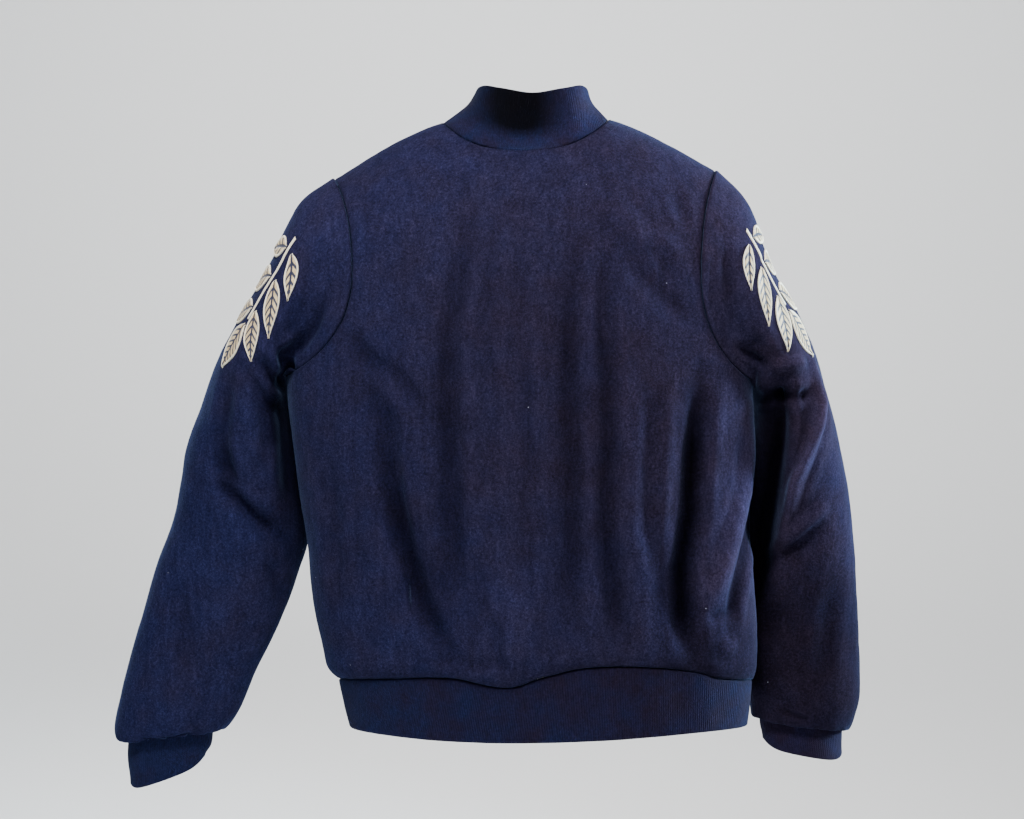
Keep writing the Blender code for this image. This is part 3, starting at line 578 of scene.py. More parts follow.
# %% Lines of a grid, closer beside seams
SEAM_LINES = (0.0, 0.5, 1.1, 1.8, 2.7, 4.0)      # mm from a seam
SEAM_RADIUS, SEAM_DEPTH = 2.4, 1.9
SEAM_SPLIT = 0.05                                # how far each edge keeps from the seam itself
CORNER_ROWS, CORNER_COLUMNS, CORNER_REACH = 22, 12, 9.0  # where a top seam's corners are looked for
FAR = 1000.0                                     # the distance to a seam where a grid has none


def fine_keys(low, high, count, low_unit=0.0, high_unit=0.0):
    """Keys from low to high; a unit is the length in mm of one step of the key at a seam."""
    start = [low + d / low_unit for d in SEAM_LINES] if low_unit else [low]
    end = [high - d / high_unit for d in SEAM_LINES] if high_unit else [high]
    inner = [start[-1] + (end[-1] - start[-1]) * i / count for i in range(1, count)]
    return start + inner + end[::-1]


def grid_normals(rows, closed=False):
    """Outward directions, from each point's neighbours."""
    last, wide = len(rows) - 1, len(rows[0]) - 1
    normals = []
    for i, row in enumerate(rows):
        above, below = rows[max(i - 1, 0)], rows[min(i + 1, last)]
        line = []
        for j in range(wide + 1):
            low = wide - 1 if closed and j == 0 else max(j - 1, 0)
            high = 1 if closed and j == wide else min(j + 1, wide)
            line.append((row[high] - row[low]).cross(above[j] - below[j]).normalized())
        normals.append(line)
    return normals


def lengths_along(line):
    """Distances along a line of points, from its first."""
    return list(accumulate(((b - a).length for a, b in zip(line, line[1:])), initial=0.0))


def nearest_in_line(point, line, j):
    """Distance from a point to the stretch of a line about its point j."""
    reach = CORNER_REACH
    low, high = max(j - CORNER_COLUMNS, 0), min(j + CORNER_COLUMNS, len(line) - 1)
    for a, b in zip(line[low:high], line[low + 1:high + 1]):
        step = b - a
        t = min(max((point - a).dot(step) / max(step.length_squared, TINY), 0.0), 1.0)
        reach = min(reach, (point - a - step * t).length)
    return reach


def seam_distances(rows, seams):
    """Each point's distance to the nearest seam; seams names some of left, right, top, bottom."""
    across = [lengths_along(row) for row in rows]
    down = [lengths_along(line) for line in zip(*rows)]
    result = []
    for i, row in enumerate(rows):
        line = []
        for j, point in enumerate(row):
            near = {"left": across[i][j], "right": across[i][-1] - across[i][j],
                    "top": down[j][i], "bottom": down[j][-1] - down[j][i]}
            if "top" in seams and i < CORNER_ROWS:
                near["top"] = min(near["top"], nearest_in_line(point, rows[0], j))
            line.append(min([near[name] for name in seams], default=FAR))
        result.append(line)
    return result


# %% Turning a grid into cloth
NAP = ((55.0, 0.9), (19.0, 0.4), (7.0, 0.12))    # sizes and heights of the wool's unevenness, mm
PUCKER_SIZE, PUCKER_HEIGHT, PUCKER_REACH = 10.0, 0.55, 9.0
PUCKER_SEED = Vector((7, 3, 5))
EDGE_FADE = 10.0                                 # mm from a panel's seam, where the relief begins
PAINTED_SHADE_HEIGHT, SEAM_PAINTED_SHADE, PAINTED_SHADE_REACH = 18.0, 0.42, 2.5     # painted shade and highlight: mm of relief for the full amount


def unevenness(point, layers=NAP):
    return sum(height * noise.noise(point / size) for size, height in layers)


def seam_turn(distance):
    """How far the cloth has turned in at a distance from the seam."""
    left = max(1 - distance / SEAM_RADIUS, 0.0)
    return -SEAM_DEPTH * (1 - math.sqrt(1 - left * left))


def painted_shade_of(height, seam_distance):
    """Painted shade and highlight: -1 in the deepest trough to 1 on the highest ridge, and lower beside a
    seam, where painted shade darkens it.
    """
    beside = SEAM_PAINTED_SHADE * math.exp(-seam_distance / PAINTED_SHADE_REACH)
    return max(min(height / PAINTED_SHADE_HEIGHT, 1.0), -1.0) - beside


def no_shade(point, i, j):
    return 0.0


def shaped_cloth(rows, relief, seams, folds, shade=no_shade, closed=False):
    """The grid with its relief, turned in at its seams, and each point's painted shade. Points are in mm.
    """
    normals, near = grid_normals(rows, closed), seam_distances(rows, seams)
    result, painted_shades = [], []
    for i, row in enumerate(rows):
        result.append([])
        painted_shades.append([])
        for j, point in enumerate(row):
            seam = near[i][j]
            pucker = PUCKER_HEIGHT * noise.noise(point / PUCKER_SIZE + PUCKER_SEED)
            creased = relief(point, i, j) * (1 if closed else smooth_step(0, EDGE_FADE, seam))
            height = (creased + unevenness(point) + pucker * math.exp(-seam / PUCKER_REACH)
                      + seam_turn(seam))
            result[i].append(point + normals[i][j] * height)
            deep = creased + fold_height(folds, abs(point.x) if closed else point.x, point.z)
            painted_shades[i].append(painted_shade_of(deep, seam) - shade(point, i, j))
    for name in seams:
        split_edge(result, name)
    return result, painted_shades


def split_edge(rows, name):
    """Moves one edge of the grid a little inside, so that two sheets don't touch at a seam."""
    pairs = {"left": [(row, 0, row, 1) for row in rows],
             "right": [(row, -1, row, -2) for row in rows],
             "top": [(rows[0], j, rows[1], j) for j in range(len(rows[0]))],
             "bottom": [(rows[-1], j, rows[-2], j) for j in range(len(rows[0]))]}[name]
    for row, j, other, k in pairs:
        step = other[k] - row[j]
        row[j] = row[j] + step.normalized() * min(SEAM_SPLIT, step.length / 2)


# %% From points to pieces of the scene
def cloth_uv(rows, us=None):
    """A map of the cloth laid flat, in mm along its columns and rows."""
    us = us or lengths_along(rows[len(rows) // 2])
    vs = lengths_along([row[len(row) // 2] for row in rows])
    return lambda i, j: (us[j], -vs[i])


def grid_mesh(rows, uv_at, closed=False, painted_shades=None, materials=None):
    """A bmesh of the grid in metres; materials gives a number for each column of faces."""
    height, width = len(rows), len(rows[0])
    mesh = bmesh.new()
    cloth_map = mesh.loops.layers.uv.new("cloth")
    painted_shade = mesh.verts.layers.float.new("painted_shade") if painted_shades else None
    bmesh.ops.create_grid(mesh, x_segments=width - 1, y_segments=height - 1, size=1)
    places = [(height - 1 - k // width, k % width) for k in range(width * height)]
    for face in mesh.faces:
        if materials:
            first = min(places[vert.index][1] for vert in face.verts)
            face.material_index = materials[first + (first * 2 >= width - 1)]
        for loop in face.loops:
            u, v = uv_at(*places[loop.vert.index])
            loop[cloth_map].uv = u * MM, v * MM
    for vert in mesh.verts:
        i, j = places[vert.index]
        vert.co = rows[i][j] * MM
        if painted_shades:
            vert[painted_shade] = painted_shades[i][j]
    if closed:
        edge = [v for v in mesh.verts if places[v.index][1] in (0, width - 1)]
        bmesh.ops.remove_doubles(mesh, verts=edge, dist=0.02 * MM)
    return mesh


def placed(name, data):
    """A new object of the scene, at the origin."""
    made = bpy.data.objects.new(name, data)
    bpy.context.scene.collection.objects.link(made)
    return made


def finished(name, mesh, materials, wall=0.0, smooth=True, sharp=None):
    """Puts a bmesh into the scene, with a wall in mm, and sharp edges above an angle in degrees."""
    data = bpy.data.meshes.new(name)
    mesh.to_mesh(data)
    mesh.free()
    for material in materials:
        data.materials.append(material)
    if smooth:
        data.shade_smooth()
    if sharp:
        data.set_sharp_from_angle(angle=math.radians(sharp))
    piece = placed(name, data)
    if wall:
        modifier = piece.modifiers.new("wall", "SOLIDIFY")
        modifier.thickness, modifier.offset = wall * MM, -1
    return piece


def declare(piece, slot, *nodes, body="jacket"):
    """Says what a piece rides on, and which plain solids it stands for; slot is not used."""
    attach(piece, body)
    if nodes:
        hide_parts(*nodes)


# %% [markdown]
# ## Nodes in few lines
#
# Every finish below is made of noises, waves and ramps on the object's own coordinates or on the
# cloth's UV map. One small class adds nodes, and fills or links their inputs.

# %% A class for finishes
class Finish:
    """A material that is built up in few words."""

    def __init__(self, name, **inputs):
        self.material = bpy.data.materials.new(name)
        self.material.use_nodes = True
        self.tree = self.material.node_tree
        self.fill(self.tree.nodes["Principled BSDF"], inputs)

    def fill(self, node, inputs):
        """Fills inputs. Underscores in an input's name stand for spaces, n1 for input 1."""
        for key, value in inputs.items():
            socket = node.inputs[int(key[1:]) if key[1:].isdigit() else key.replace("_", " ")]
            if isinstance(value, bpy.types.NodeSocket):
                self.tree.links.new(value, socket)
            else:
                socket.default_value = value
        return node

    def done(self, **inputs):
        """The material, once the last inputs of its shader are filled."""
        self.fill(self.tree.nodes["Principled BSDF"], inputs)
        return self.material

    def add(self, kind, settings=None, **inputs):
        made = self.tree.nodes.new("ShaderNode" + kind)
        for key, value in (settings or {}).items():
            setattr(made, key, value)
        return self.fill(made, inputs)

    def place(self):
        return self.add("TexCoord").outputs["Object"]

    def flat_place(self):
        """The two coordinates on the cloth laid flat."""
        parts = self.add("SeparateXYZ", Vector=self.add("UVMap", {"uv_map": "cloth"}).outputs["UV"])
        return parts.outputs["X"], parts.outputs["Y"]

    def stretched(self, place, along):
        return self.add("Mapping", Vector=place, Scale=(1.0, 1.0, along)).outputs[0]

    def noise(self, place, scale, detail=4.0, roughness=0.6):
        return self.add("TexNoise", Vector=place, Scale=scale, Detail=detail,
                        Roughness=roughness).outputs["Fac"]

    def maths(self, operation, first, second=0.0, third=0.0):
        return self.add("Math", {"operation": operation}, n0=first, n1=second, n2=third).outputs[0]

    def ramp(self, value, *stops):
        """A colour ramp with stops of (position, colour or grey)."""
        made = self.add("ValToRGB", Fac=value)
        points = made.color_ramp.elements
        while len(points) < len(stops):
            points.new(0.5)
        for point, (position, colour) in zip(points, stops):
            point.position = position
            point.color = (*(colour if isinstance(colour, tuple) else (colour,) * 3), 1)
        return made.outputs["Color"]

    def mix(self, factor, first, second, blend="MIX"):
        return self.add("Mix", {"data_type": "RGBA", "blend_type": blend},
                        n0=factor, n6=first, n7=second).outputs[2]

    def product(self, first, *others):
        for other in others:
            first = self.mix(1.0, first, other, "MULTIPLY")
        return first

    def bump(self, height, strength, distance, **before):
        return self.add("Bump", Height=height, Strength=strength, Distance=distance * MM,
                        **before).outputs["Normal"]

    def painted_shading(self):
        """A grey factor of painted shade and highlight: dark in the cloth's troughs, light on its ridges.
        """
        painted_shade = self.add("Attribute", {"attribute_name": "painted_shade"}).outputs["Fac"]
        share = self.maths("MULTIPLY_ADD", painted_shade, 0.5, 0.5)
        return self.ramp(share, (0.0, 0.06), (0.22, 0.36), (0.5, 0.8), (0.68, 1.05), (0.9, 1.5))


# %% [markdown]
# ## Melton wool
#
# Melton is woven wool, felted until the weave disappears under a short nap. Up close it is a
# mottle of fibres: navy, with dusty lighter hairs and darker pits. Over a hand's width it drifts
# between a bluer and a browner navy, where the nap lies one way or the other, and the jacket is
# bluer towards the wearer's left. A little sheen stands for the loose hairs that catch light at
# the edges. A few specks of lint complete it.

# %% The wool's finish
SHEEN_TINT = (0.36, 0.52, 1.0, 1)
LINT = (0.16, 0.16, 0.20, 1)
LINT_SCALE, LINT_SIZE, LINT_RARITY = 50.0, 0.03, 0.92


def wool_material():
    wool = Finish("melton_wool", Roughness=0.95, Sheen_Weight=0.09, Sheen_Roughness=0.30,
                  Sheen_Tint=SHEEN_TINT, Specular_IOR_Level=0.0)
    place = wool.place()
    streaks = wool.noise(wool.stretched(place, 0.22), 150.0, 5.0, 0.65)
    mottle = wool.noise(place, 430.0, 5.0, 0.75)
    hairs = wool.noise(place, 2100.0, 3.0, 0.7)
    drift = wool.maths("MULTIPLY_ADD", wool.noise(place, 6.0, 3.0), 0.36, 0.20)
    across = wool.add("SeparateXYZ", Vector=place).outputs["X"]
    leaning = wool.maths("MULTIPLY_ADD", across, -0.32, drift)
    hue = wool.maths("MULTIPLY_ADD", wool.noise(place, 38.0), 0.24, leaning)
    # The last factor is painted shade and highlight: darker in troughs, beside seams and in the shaded
    # places, lighter on ridges.
    fibred = wool.product(
        wool.ramp(hue, (0.34, (0.0106, 0.0115, 0.0370)), (0.50, (0.0133, 0.0116, 0.0288)),
                  (0.66, (0.0152, 0.0108, 0.0215))),
        wool.ramp(streaks, (0.30, 0.80), (0.50, 1.0), (0.72, 1.26)),
        wool.ramp(wool.noise(place, 30.0, 3.0), (0.34, 0.93), (0.66, 1.07)),
        wool.ramp(mottle, (0.30, 0.46), (0.50, 0.96), (0.72, 1.85)),
        wool.ramp(hairs, (0.40, 0.65), (0.56, 1.0), (0.76, 2.4)),
        wool.painted_shading())
    cells = wool.add("TexVoronoi", {"feature": "F1"}, Vector=place, Scale=LINT_SCALE).outputs
    dot = wool.maths("LESS_THAN", cells["Distance"], LINT_SIZE)
    picked = wool.add("SeparateColor", Color=cells["Color"]).outputs[0]
    lint = wool.maths("MULTIPLY", dot, wool.maths("GREATER_THAN", picked, LINT_RARITY))
    felt = wool.bump(mottle, 0.7, 0.7, Normal=wool.bump(streaks, 0.4, 0.8))
    return wool.done(Base_Color=wool.mix(lint, fibred, LINT),
                     Normal=wool.bump(hairs, 0.5, 0.3, Normal=felt))


WOOL = wool_material()
print("material:", WOOL.name)

# %% [markdown]
# ## The back panel
#
# One piece of wool from the neck and shoulder seams to the hem. Its grid has extra columns where
# the neck seam meets the shoulder, because the neckline turns sharply there.

# %% Columns and rows of the torso's panels
NECK_COLUMNS, SHOULDER_COLUMNS, ROWS_EACH = 26, 40, 7
SIDE_UNIT, EDGE_UNIT, TOP_UNIT, HEM_UNIT = 220.0, 260.0, 34.0, 18.0     # mm per step of a key
NECK_STOPS = (0.992, 0.9985)                     # the last columns inside the neck point
PANEL_SEAMS = ("left", "right", "top", "bottom")
PANEL_ROWS = fine_keys(0.0, LAST_ROW, LAST_ROW * ROWS_EACH, TOP_UNIT, HEM_UNIT)


def fine_columns(side, inner, first_unit=0.0):
    """Places s from inner out to the side edge, crowded towards the neck point."""
    neck = NECK[side]
    eased = [0.55 * at + 0.45 * math.sin(QUARTER * at)
             for at in fine_keys(0.0, 1.0, NECK_COLUMNS, first_unit * (neck - inner))]
    near = [inner + (neck - inner) * at for at in eased[:-1]] + [neck * stop for stop in NECK_STOPS]
    return [side * s for s in near + fine_keys(neck, 1.0, SHOULDER_COLUMNS, 0.0, SIDE_UNIT)]


def hang(piece, slot, node):
    """Declares a sheet of cloth: the plain solid it stands for."""
    declare(piece, slot, node)


def make_wool(node, rows, relief, seams, folds, shade=no_shade, closed=False):
    """A piece of wool for a plain solid."""
    shaped, painted_shades = shaped_cloth(rows, relief, seams, folds, shade, closed)
    if closed:
        for row in shaped:
            row[-1] = row[0].copy()
    mesh = grid_mesh(shaped, cloth_uv(shaped), closed, painted_shades)
    piece = finished("cloth_" + node, mesh, [WOOL], WOOL_WALL)
    hang(piece, "navy_wool", node)
    return shaped


# %% Making the back
# Where a sleeve rests against the body, painted shade makes the wool darker, for the shadow there.
REST_END = {"left": -440, "right": -590}         # the level where the resting ends
BODY_REST, SLEEVE_REST = (-260, -285, 30), (-262, -284, 35)      # where it starts, is full, and fades
SIDE_SHADE, SIDE_START, REST_SHADE = 0.9, 0.94, 0.7
LOW_RIGHT_SHADE = 0.4                            # painted shade on the back's lower right
LOW_RIGHT_X, LOW_RIGHT_Z = (90, 190), (-470, -560)
CREASE_START = {"back": (-40, -90), "front": (-50, -110)}        # levels below the neck


def resting_level(word, z, start, full, fade):
    """1 at the levels where a sleeve rests against the body."""
    end = REST_END[word]
    return falling_step(start, full, z) * smooth_step(end - fade, end, z)


# Painted shade at the body's sides, where the sleeves rest against them.
def side_shade(s, z):
    level = resting_level("left" if s > 0 else "right", z, *BODY_REST)
    return SIDE_SHADE * smooth_step(SIDE_START, 1.0, abs(s)) * level


def body_creases(name, point):
    return falling_step(*CREASE_START[name], point.z) * crease_height(name, point.x, point.z)


def make_back():
    columns = fine_columns(1, 0.0)[::-1] + fine_columns(-1, 0.0)[1:]
    rows = [[torso_point(1, s, row) for s in columns] for row in PANEL_ROWS]

    def relief(point, i, j):
        return body_creases("back", point)

    # Painted shade: beside the resting sleeves and on the lower right.
    def shade(point, i, j):
        low_right = smooth_step(*LOW_RIGHT_X, -point.x) * falling_step(*LOW_RIGHT_Z, point.z)
        return side_shade(columns[j], point.z) + LOW_RIGHT_SHADE * low_right

    make_wool("back_panel", rows, relief, PANEL_SEAMS, BACK_FOLDS, shade)


make_back()

# %% [markdown]
# ## The fronts
#
# The two fronts end at the zip. Their edges beside it are turned under and stitched down, so a
# row of stitches runs about 7 mm from each edge. The stitches are small separate threads that sink
# into a groove.

# %% Making the fronts
STITCH_INSET, STITCH_GROOVE, GROOVE_WIDTH = 7.0, 0.7, 1.3
FLAT_EDGE = (2, 30)                              # mm from the zip, between which creases begin
SIDES = {"left": 1, "right": -1}


def groove(distance):
    t = min(abs(distance - STITCH_INSET) / GROOVE_WIDTH, 1.0)
    return -STITCH_GROOVE * (1 - t * t) ** 2


def make_front(word, sign):
    rows = [[torso_point(-1, s, row)
             for s in fine_columns(sign, zip_share(sign, row), EDGE_UNIT)][::sign]
            for row in PANEL_ROWS]
    from_zip = seam_distances(rows, ("left",) if sign > 0 else ("right",))

    def relief(point, i, j):
        calm = smooth_step(*FLAT_EDGE, from_zip[i][j])
        return calm * body_creases("front", point) + groove(from_zip[i][j])

    return make_wool("front_" + word, rows, relief, PANEL_SEAMS, FRONT_FOLDS)


front_skins = {word: make_front(word, sign) for word, sign in SIDES.items()}

# %% [markdown]
# ## The sleeves
#
# Each sleeve is one piece of wool closed by a seam that runs underneath. At its top the seam
# allowance is pressed towards the sleeve and shows as a low raised band along the armhole. At the
# lower end the wool is gathered into the cuff and hangs over it a little.

# %% Making the sleeves
SLEEVE_TURNS, SLEEVE_ROWS_EACH = 112, 8
BAND_RISE, GATHER_RISE = 2.2, 2.2
LOW_SHADE = {"left": 0.0, "right": 0.42}         # painted shade on the right forearm
FOREARM = (-440, -510)
REST_SWELL = 5.0                                 # mm, where a sleeve rests against the body
LAST_RING = len(SLEEVE[1])
SLEEVE_KEYS = fine_keys(0.0, LAST_RING, LAST_RING * SLEEVE_ROWS_EACH, 34.0, 13.0)


def band_height(distance, z):
    """The pressed seam allowance: wider at the shoulder, gone by the underarm."""
    width = 5.0 + 9.0 * smooth_step(-190, -100, z)
    there = smooth_step(-262, -200, z)
    return BAND_RISE * there * (1 - smooth_step(width - 1.5, width + 2.0, distance))


def make_sleeve(word, sign):
    angles = [2 * math.pi * j / SLEEVE_TURNS for j in range(SLEEVE_TURNS + 1)][::sign]
    turns = [j / SLEEVE_TURNS for j in range(SLEEVE_TURNS + 1)][::sign]
    rows = [[sleeve_point(sign, turn, along) for turn in turns] for along in SLEEVE_KEYS]
    from_top = seam_distances(rows, ("top",))

    def resting(point, angle):
        """How far the sleeve rests against the body, 0 to 1."""
        inner = smooth_step(0.35, 0.9, -math.cos(angle))
        return inner * resting_level(word, point.z, *SLEEVE_REST)

    def relief(point, i, j):
        angle, along = angles[j], SLEEVE_KEYS[i]
        height = band_height(from_top[i][j], point.z) + REST_SWELL * resting(point, angle)
        for face, name in ((1, " sleeve back"), (-1, " sleeve front")):
            share = smooth_step(-0.1, 0.5, face * math.sin(angle))
            if share:
                height += share * crease_height(word + name, abs(point.x), point.z)
        round_place = Vector((math.cos(angle) * 5, math.sin(angle) * 5, along * 0.3 + sign))
        gathered = smooth_step(LAST_RING - 2.5, LAST_RING, along)
        return height + GATHER_RISE * gathered * noise.noise(round_place)

    # Painted shade where the sleeve rests against the body, and on the right forearm.
    def shade(point, i, j):
        low = LOW_SHADE[word] * falling_step(*FOREARM, point.z)
        return REST_SHADE * resting(point, angles[j]) + low

    return make_wool("sleeve_" + word, rows, relief, ("top", "bottom"), SLEEVE_FOLDS[sign], shade,
                     True)


sleeve_skins = {word: make_sleeve(word, sign) for word, sign in SIDES.items()}

# %% [markdown]
# ## Rib knit
#
# Collar, cuffs and hem band are knitted in a fine rib and folded double, so that their free edge
# is a round fold. Each rib is a real ridge here: the grid has four columns to a rib. The rows run
# down the outside, round the fold and back up the inside, and the last row meets the first, which
# closes the band. The material adds the knit: small V-shaped loops along each rib.

# %% The rib knit's finish
RIB_PITCH, RIB_RELIEF = 2.5, 0.20
LOOP_PITCH = 1.5                                 # height of one knitted loop


def rib_material():
    knit = Finish("rib_knit", Roughness=0.88, Sheen_Weight=0.07, Sheen_Roughness=0.4,
                  Sheen_Tint=SHEEN_TINT, Specular_IOR_Level=0.03)
    place = knit.place()
    u, v = knit.flat_place()
    across = knit.maths("FRACT", knit.maths("MULTIPLY", u, 1 / (RIB_PITCH * MM)))
    within = knit.maths("ABSOLUTE", knit.maths("SUBTRACT", across, 0.5))
    up = knit.maths("MULTIPLY", v, 1 / (LOOP_PITCH * MM))
    slanted = knit.maths("ADD", up, knit.maths("MULTIPLY", within, 1.6))
    loop = knit.maths("PINGPONG", knit.maths("FRACT", slanted), 0.5)
    side = knit.add("SeparateXYZ", Vector=place).outputs["X"]
    hue = knit.maths("MULTIPLY_ADD", side, -0.5, knit.noise(place, 30.0))
    mottle = knit.noise(place, 420.0, 5.0, 0.7)
    # The third factor is painted shade, a darker stripe along every rib; the last is painted shade and
    # highlight.
    colour = knit.product(
        knit.ramp(hue, (0.30, (0.0062, 0.0082, 0.0310)), (0.50, (0.0076, 0.0068, 0.0230)),
                  (0.70, (0.0088, 0.0056, 0.0150))),
        knit.ramp(mottle, (0.32, 0.55), (0.5, 1.0), (0.72, 1.8)),
        knit.ramp(within, (0.10, 1.0), (0.34, 0.95), (0.5, 0.84)),
        knit.ramp(loop, (0.04, 0.6), (0.3, 1.1)),
        knit.painted_shading())
    return knit.done(Base_Color=colour,
                     Normal=knit.bump(mottle, 0.4, 0.3, Normal=knit.bump(loop, 0.6, 0.5)))


RIB = rib_material()

# %% A band of rib, folded double
RIB_STEPS = 4                                    # grid columns to a rib
FOLD_ROWS = 5
RIB_NAP = ((38.0, 0.7), (12.0, 0.25))
BAND_SHADE, BAND_SHADE_REACH = 0.4, 3.5          # painted shade: the knit is darker right beside its seam
BAND_DOWNS = [0.0, 0.01, 0.022, 0.04, 0.07, 0.14, 0.23, 0.33, 0.44, 0.55, 0.66, 0.77, 0.88, 0.96,
              1.0]


def resampled(line, lengths, at):
    """A point on a line of points at a distance along it."""
    i, t = bracket(lengths, min(max(at, 0.0), lengths[-1]))
    return line[i].lerp(line[i + 1], t)


def rib_columns(line, share, count):
    """Points on a line whose guide's shares of its own length are even."""
    own = lengths_along(line)
    steps = [bracket(share, j / count) for j in range(count + 1)]
    return [resampled(line, own, own[i] + (own[i + 1] - own[i]) * t) for i, t in steps]


def no_painted_shade(point, down):
    return 0.0


def rib_band(name, node, point_at, steps, closed=False, painted_shade_at=no_painted_shade):
    """A double band: point_at(place, down) gives its outer skin, down 0 at the seam, 1 at the fold."""
    guide = [[point_at(i / steps, down) for i in range(steps + 1)] for down in BAND_DOWNS]
    middle = lengths_along(guide[len(guide) // 2])
    count = round(middle[-1] / RIB_PITCH) * RIB_STEPS
    rows = [rib_columns(line, [length / middle[-1] for length in middle], count) for line in guide]
    normals = grid_normals(rows, closed)
    near = seam_distances(rows, ("top",) if closed else ("top", "left", "right"))
    outer, inner, painted_shades = [[[] for _ in rows] for _ in range(3)]
    for i, row in enumerate(rows):
        for j, point in enumerate(row):
            seam, normal = near[i][j], normals[i][j]
            rib = RIB_RELIEF * math.cos(2 * math.pi * j / RIB_STEPS)
            level = unevenness(point, RIB_NAP) + seam_turn(seam)
            outer[i].append(point + normal * (level + rib * smooth_step(0, 2, seam)))
            inner[i].append(point + normal * (level - RIB_WALL - rib))
            beside = BAND_SHADE * math.exp(-seam / BAND_SHADE_REACH)
            painted_shades[i].append(painted_shade_at(point, BAND_DOWNS[i]) - beside)
    fold = []
    for angle in [math.pi * k / FOLD_ROWS for k in range(1, FOLD_ROWS)]:
        fold.append([a.lerp(b, (1 - math.cos(angle)) / 2)
                     + (last - before).normalized() * math.sin(angle) * RIB_WALL * 0.5
                     for a, b, last, before in zip(outer[-1], inner[-1], rows[-1], rows[-2])])
    shaped = outer + fold + inner[::-1] + [outer[0]]
    painted_shades += [painted_shades[-1]] * len(fold) + painted_shades[::-1] + [painted_shades[0]]
    if closed:
        for line in shaped:
            line[-1] = line[0].copy()
    else:
        split_edge(shaped, "left")
        split_edge(shaped, "right")
    us = [j * RIB_PITCH / RIB_STEPS for j in range(count + 1)]
    mesh = grid_mesh(shaped, cloth_uv(shaped, us), closed, painted_shades)
    bmesh.ops.remove_doubles(mesh, verts=[v for v in mesh.verts if v.is_boundary], dist=0.01 * MM)
    if not closed:
        bmesh.ops.holes_fill(mesh, edges=[e for e in mesh.edges if e.is_boundary], sides=0)
    hang(finished(name, mesh, [RIB]), "navy_rib_knit", node)
    print("ribs:", count // RIB_STEPS)


# %% The hem band
HEM_SOFT, HEM_WAVE = 1.6, 45                     # mm: how far the band waves, and how often


def hem_place(at):
    """A place on the hem seam from the left front edge (0) over the back (0.5) to the right (1)."""
    if 0.25 <= at <= 0.75:
        return 1, 1 - (at - 0.25) * 4
    side = 1 if at < 0.5 else -1
    inner = zip_share(side, LAST_ROW)
    return -1, side * (inner + (1 - inner) * 4 * min(at, 1 - at))


def hem_band_point(at, down):
    face, s = hem_place(at)
    top, low = hem_band_ends(face, s)
    wave = noise.noise(Vector((top.x / HEM_WAVE, top.y / HEM_WAVE, 4)))
    soft = HEM_SOFT * math.sin(math.pi * down) * wave
    return top.lerp(low, down) + Vector((s * 0.4, face, 0)).normalized() * soft


rib_band("rib_hem", "hem_rib", hem_band_point, 240)

# %% The cuffs
CUFF_LIFT, CUFF_TAPER = 7.0, 0.05                # their free edge is drawn up and in at both sides


def soft_cuff_point(sign, turn, down):
    place = cuff_point(sign, turn, down)
    middle = (cuff_point(sign, 0.0, down) + cuff_point(sign, 0.5, down)) / 2
    drawn = smooth_step(0.35, 1.0, down) * abs(math.cos(2 * math.pi * turn)) ** 6
    place += Vector((0, 0, CUFF_LIFT * drawn))
    return place + (middle - place) * CUFF_TAPER * drawn


for word, sign in SIDES.items():
    rib_band("rib_cuff_" + word, "cuff_" + word,
             lambda at, down: soft_cuff_point(sign, at if sign > 0 else 1 - at, down), 90, True)

# %% The collar
HOLLOW_DEPTH, HOLLOW_MIDDLE, HOLLOW_REACH = 15.0, -2.0, 50.0     # at the centre back, mm
HOLLOW_PAINTED_SHADE, FLANK_PAINTED_LIGHT = (-1.2, 10, 44), (0.35, -62, 20)        # painted shade in the hollow, painted light on the flank: strength, middle and reach in mm


def collar_point(at, up):
    """at runs from the right front end round the back to the left front end, up from the seam."""
    low, top = collar_ends(-1 if at <= 0.5 else 1, abs(1 - 2 * at))
    place = low.lerp(top, up)
    if abs(1 - 2 * at) < 0.5:
        near = math.cos(QUARTER * min(abs(place.x - HOLLOW_MIDDLE) / HOLLOW_REACH, 1.0)) ** 2
        place.y -= HOLLOW_DEPTH * near * math.sin(math.pi * up ** 0.62)
    return place


def collar_painted_shade(point, up):
    """Painted shade in the hollow at the centre back, painted light where the collar turns to the sides.
    """
    if point.y < 0:
        return 0.0
    hollow, flank = [painted_shade * math.exp(-((point.x - middle) / reach) ** 2)
                     for painted_shade, middle, reach in (HOLLOW_PAINTED_SHADE, FLANK_PAINTED_LIGHT)]
    return flank + hollow * smooth_step(0.15, 0.5, up)


rib_band("rib_collar", "collar_rib", collar_point, 160, painted_shade_at=collar_painted_shade)

# %% [markdown]
# ## Leaf sprays on the sleeves
#
# The upper part of each sleeve carries an embroidered spray: leaves in pale gold satin stitch,
# each with a navy midrib and side veins, inside a thick cream cord. Embroidery follows the cloth,
# so its points are looked up on the finished sleeve and lifted along the sleeve's own normals.
# The cord is a raised round border in the mesh; the single stitches are in the material.

# %% Looking up places on a finished sleeve
SKINS = {word: [[row[::SIDES[word]] for row in grid] for grid in (shaped, grid_normals(shaped, True))]
         for word, shaped in sleeve_skins.items()}


def skin_at(word, turn, along):
    """A finished sleeve's point and outward direction at any turn and along."""
    across = turn % 1.0 * SLEEVE_TURNS
    j = min(int(across), SLEEVE_TURNS - 1)
    i, down = bracket(SLEEVE_KEYS, along)
    place, normal = [
        grid[i][j].lerp(grid[i][j + 1], across - j).lerp(
            grid[i + 1][j].lerp(grid[i + 1][j + 1], across - j), down) for grid in SKINS[word]]
    return place, normal.normalized()


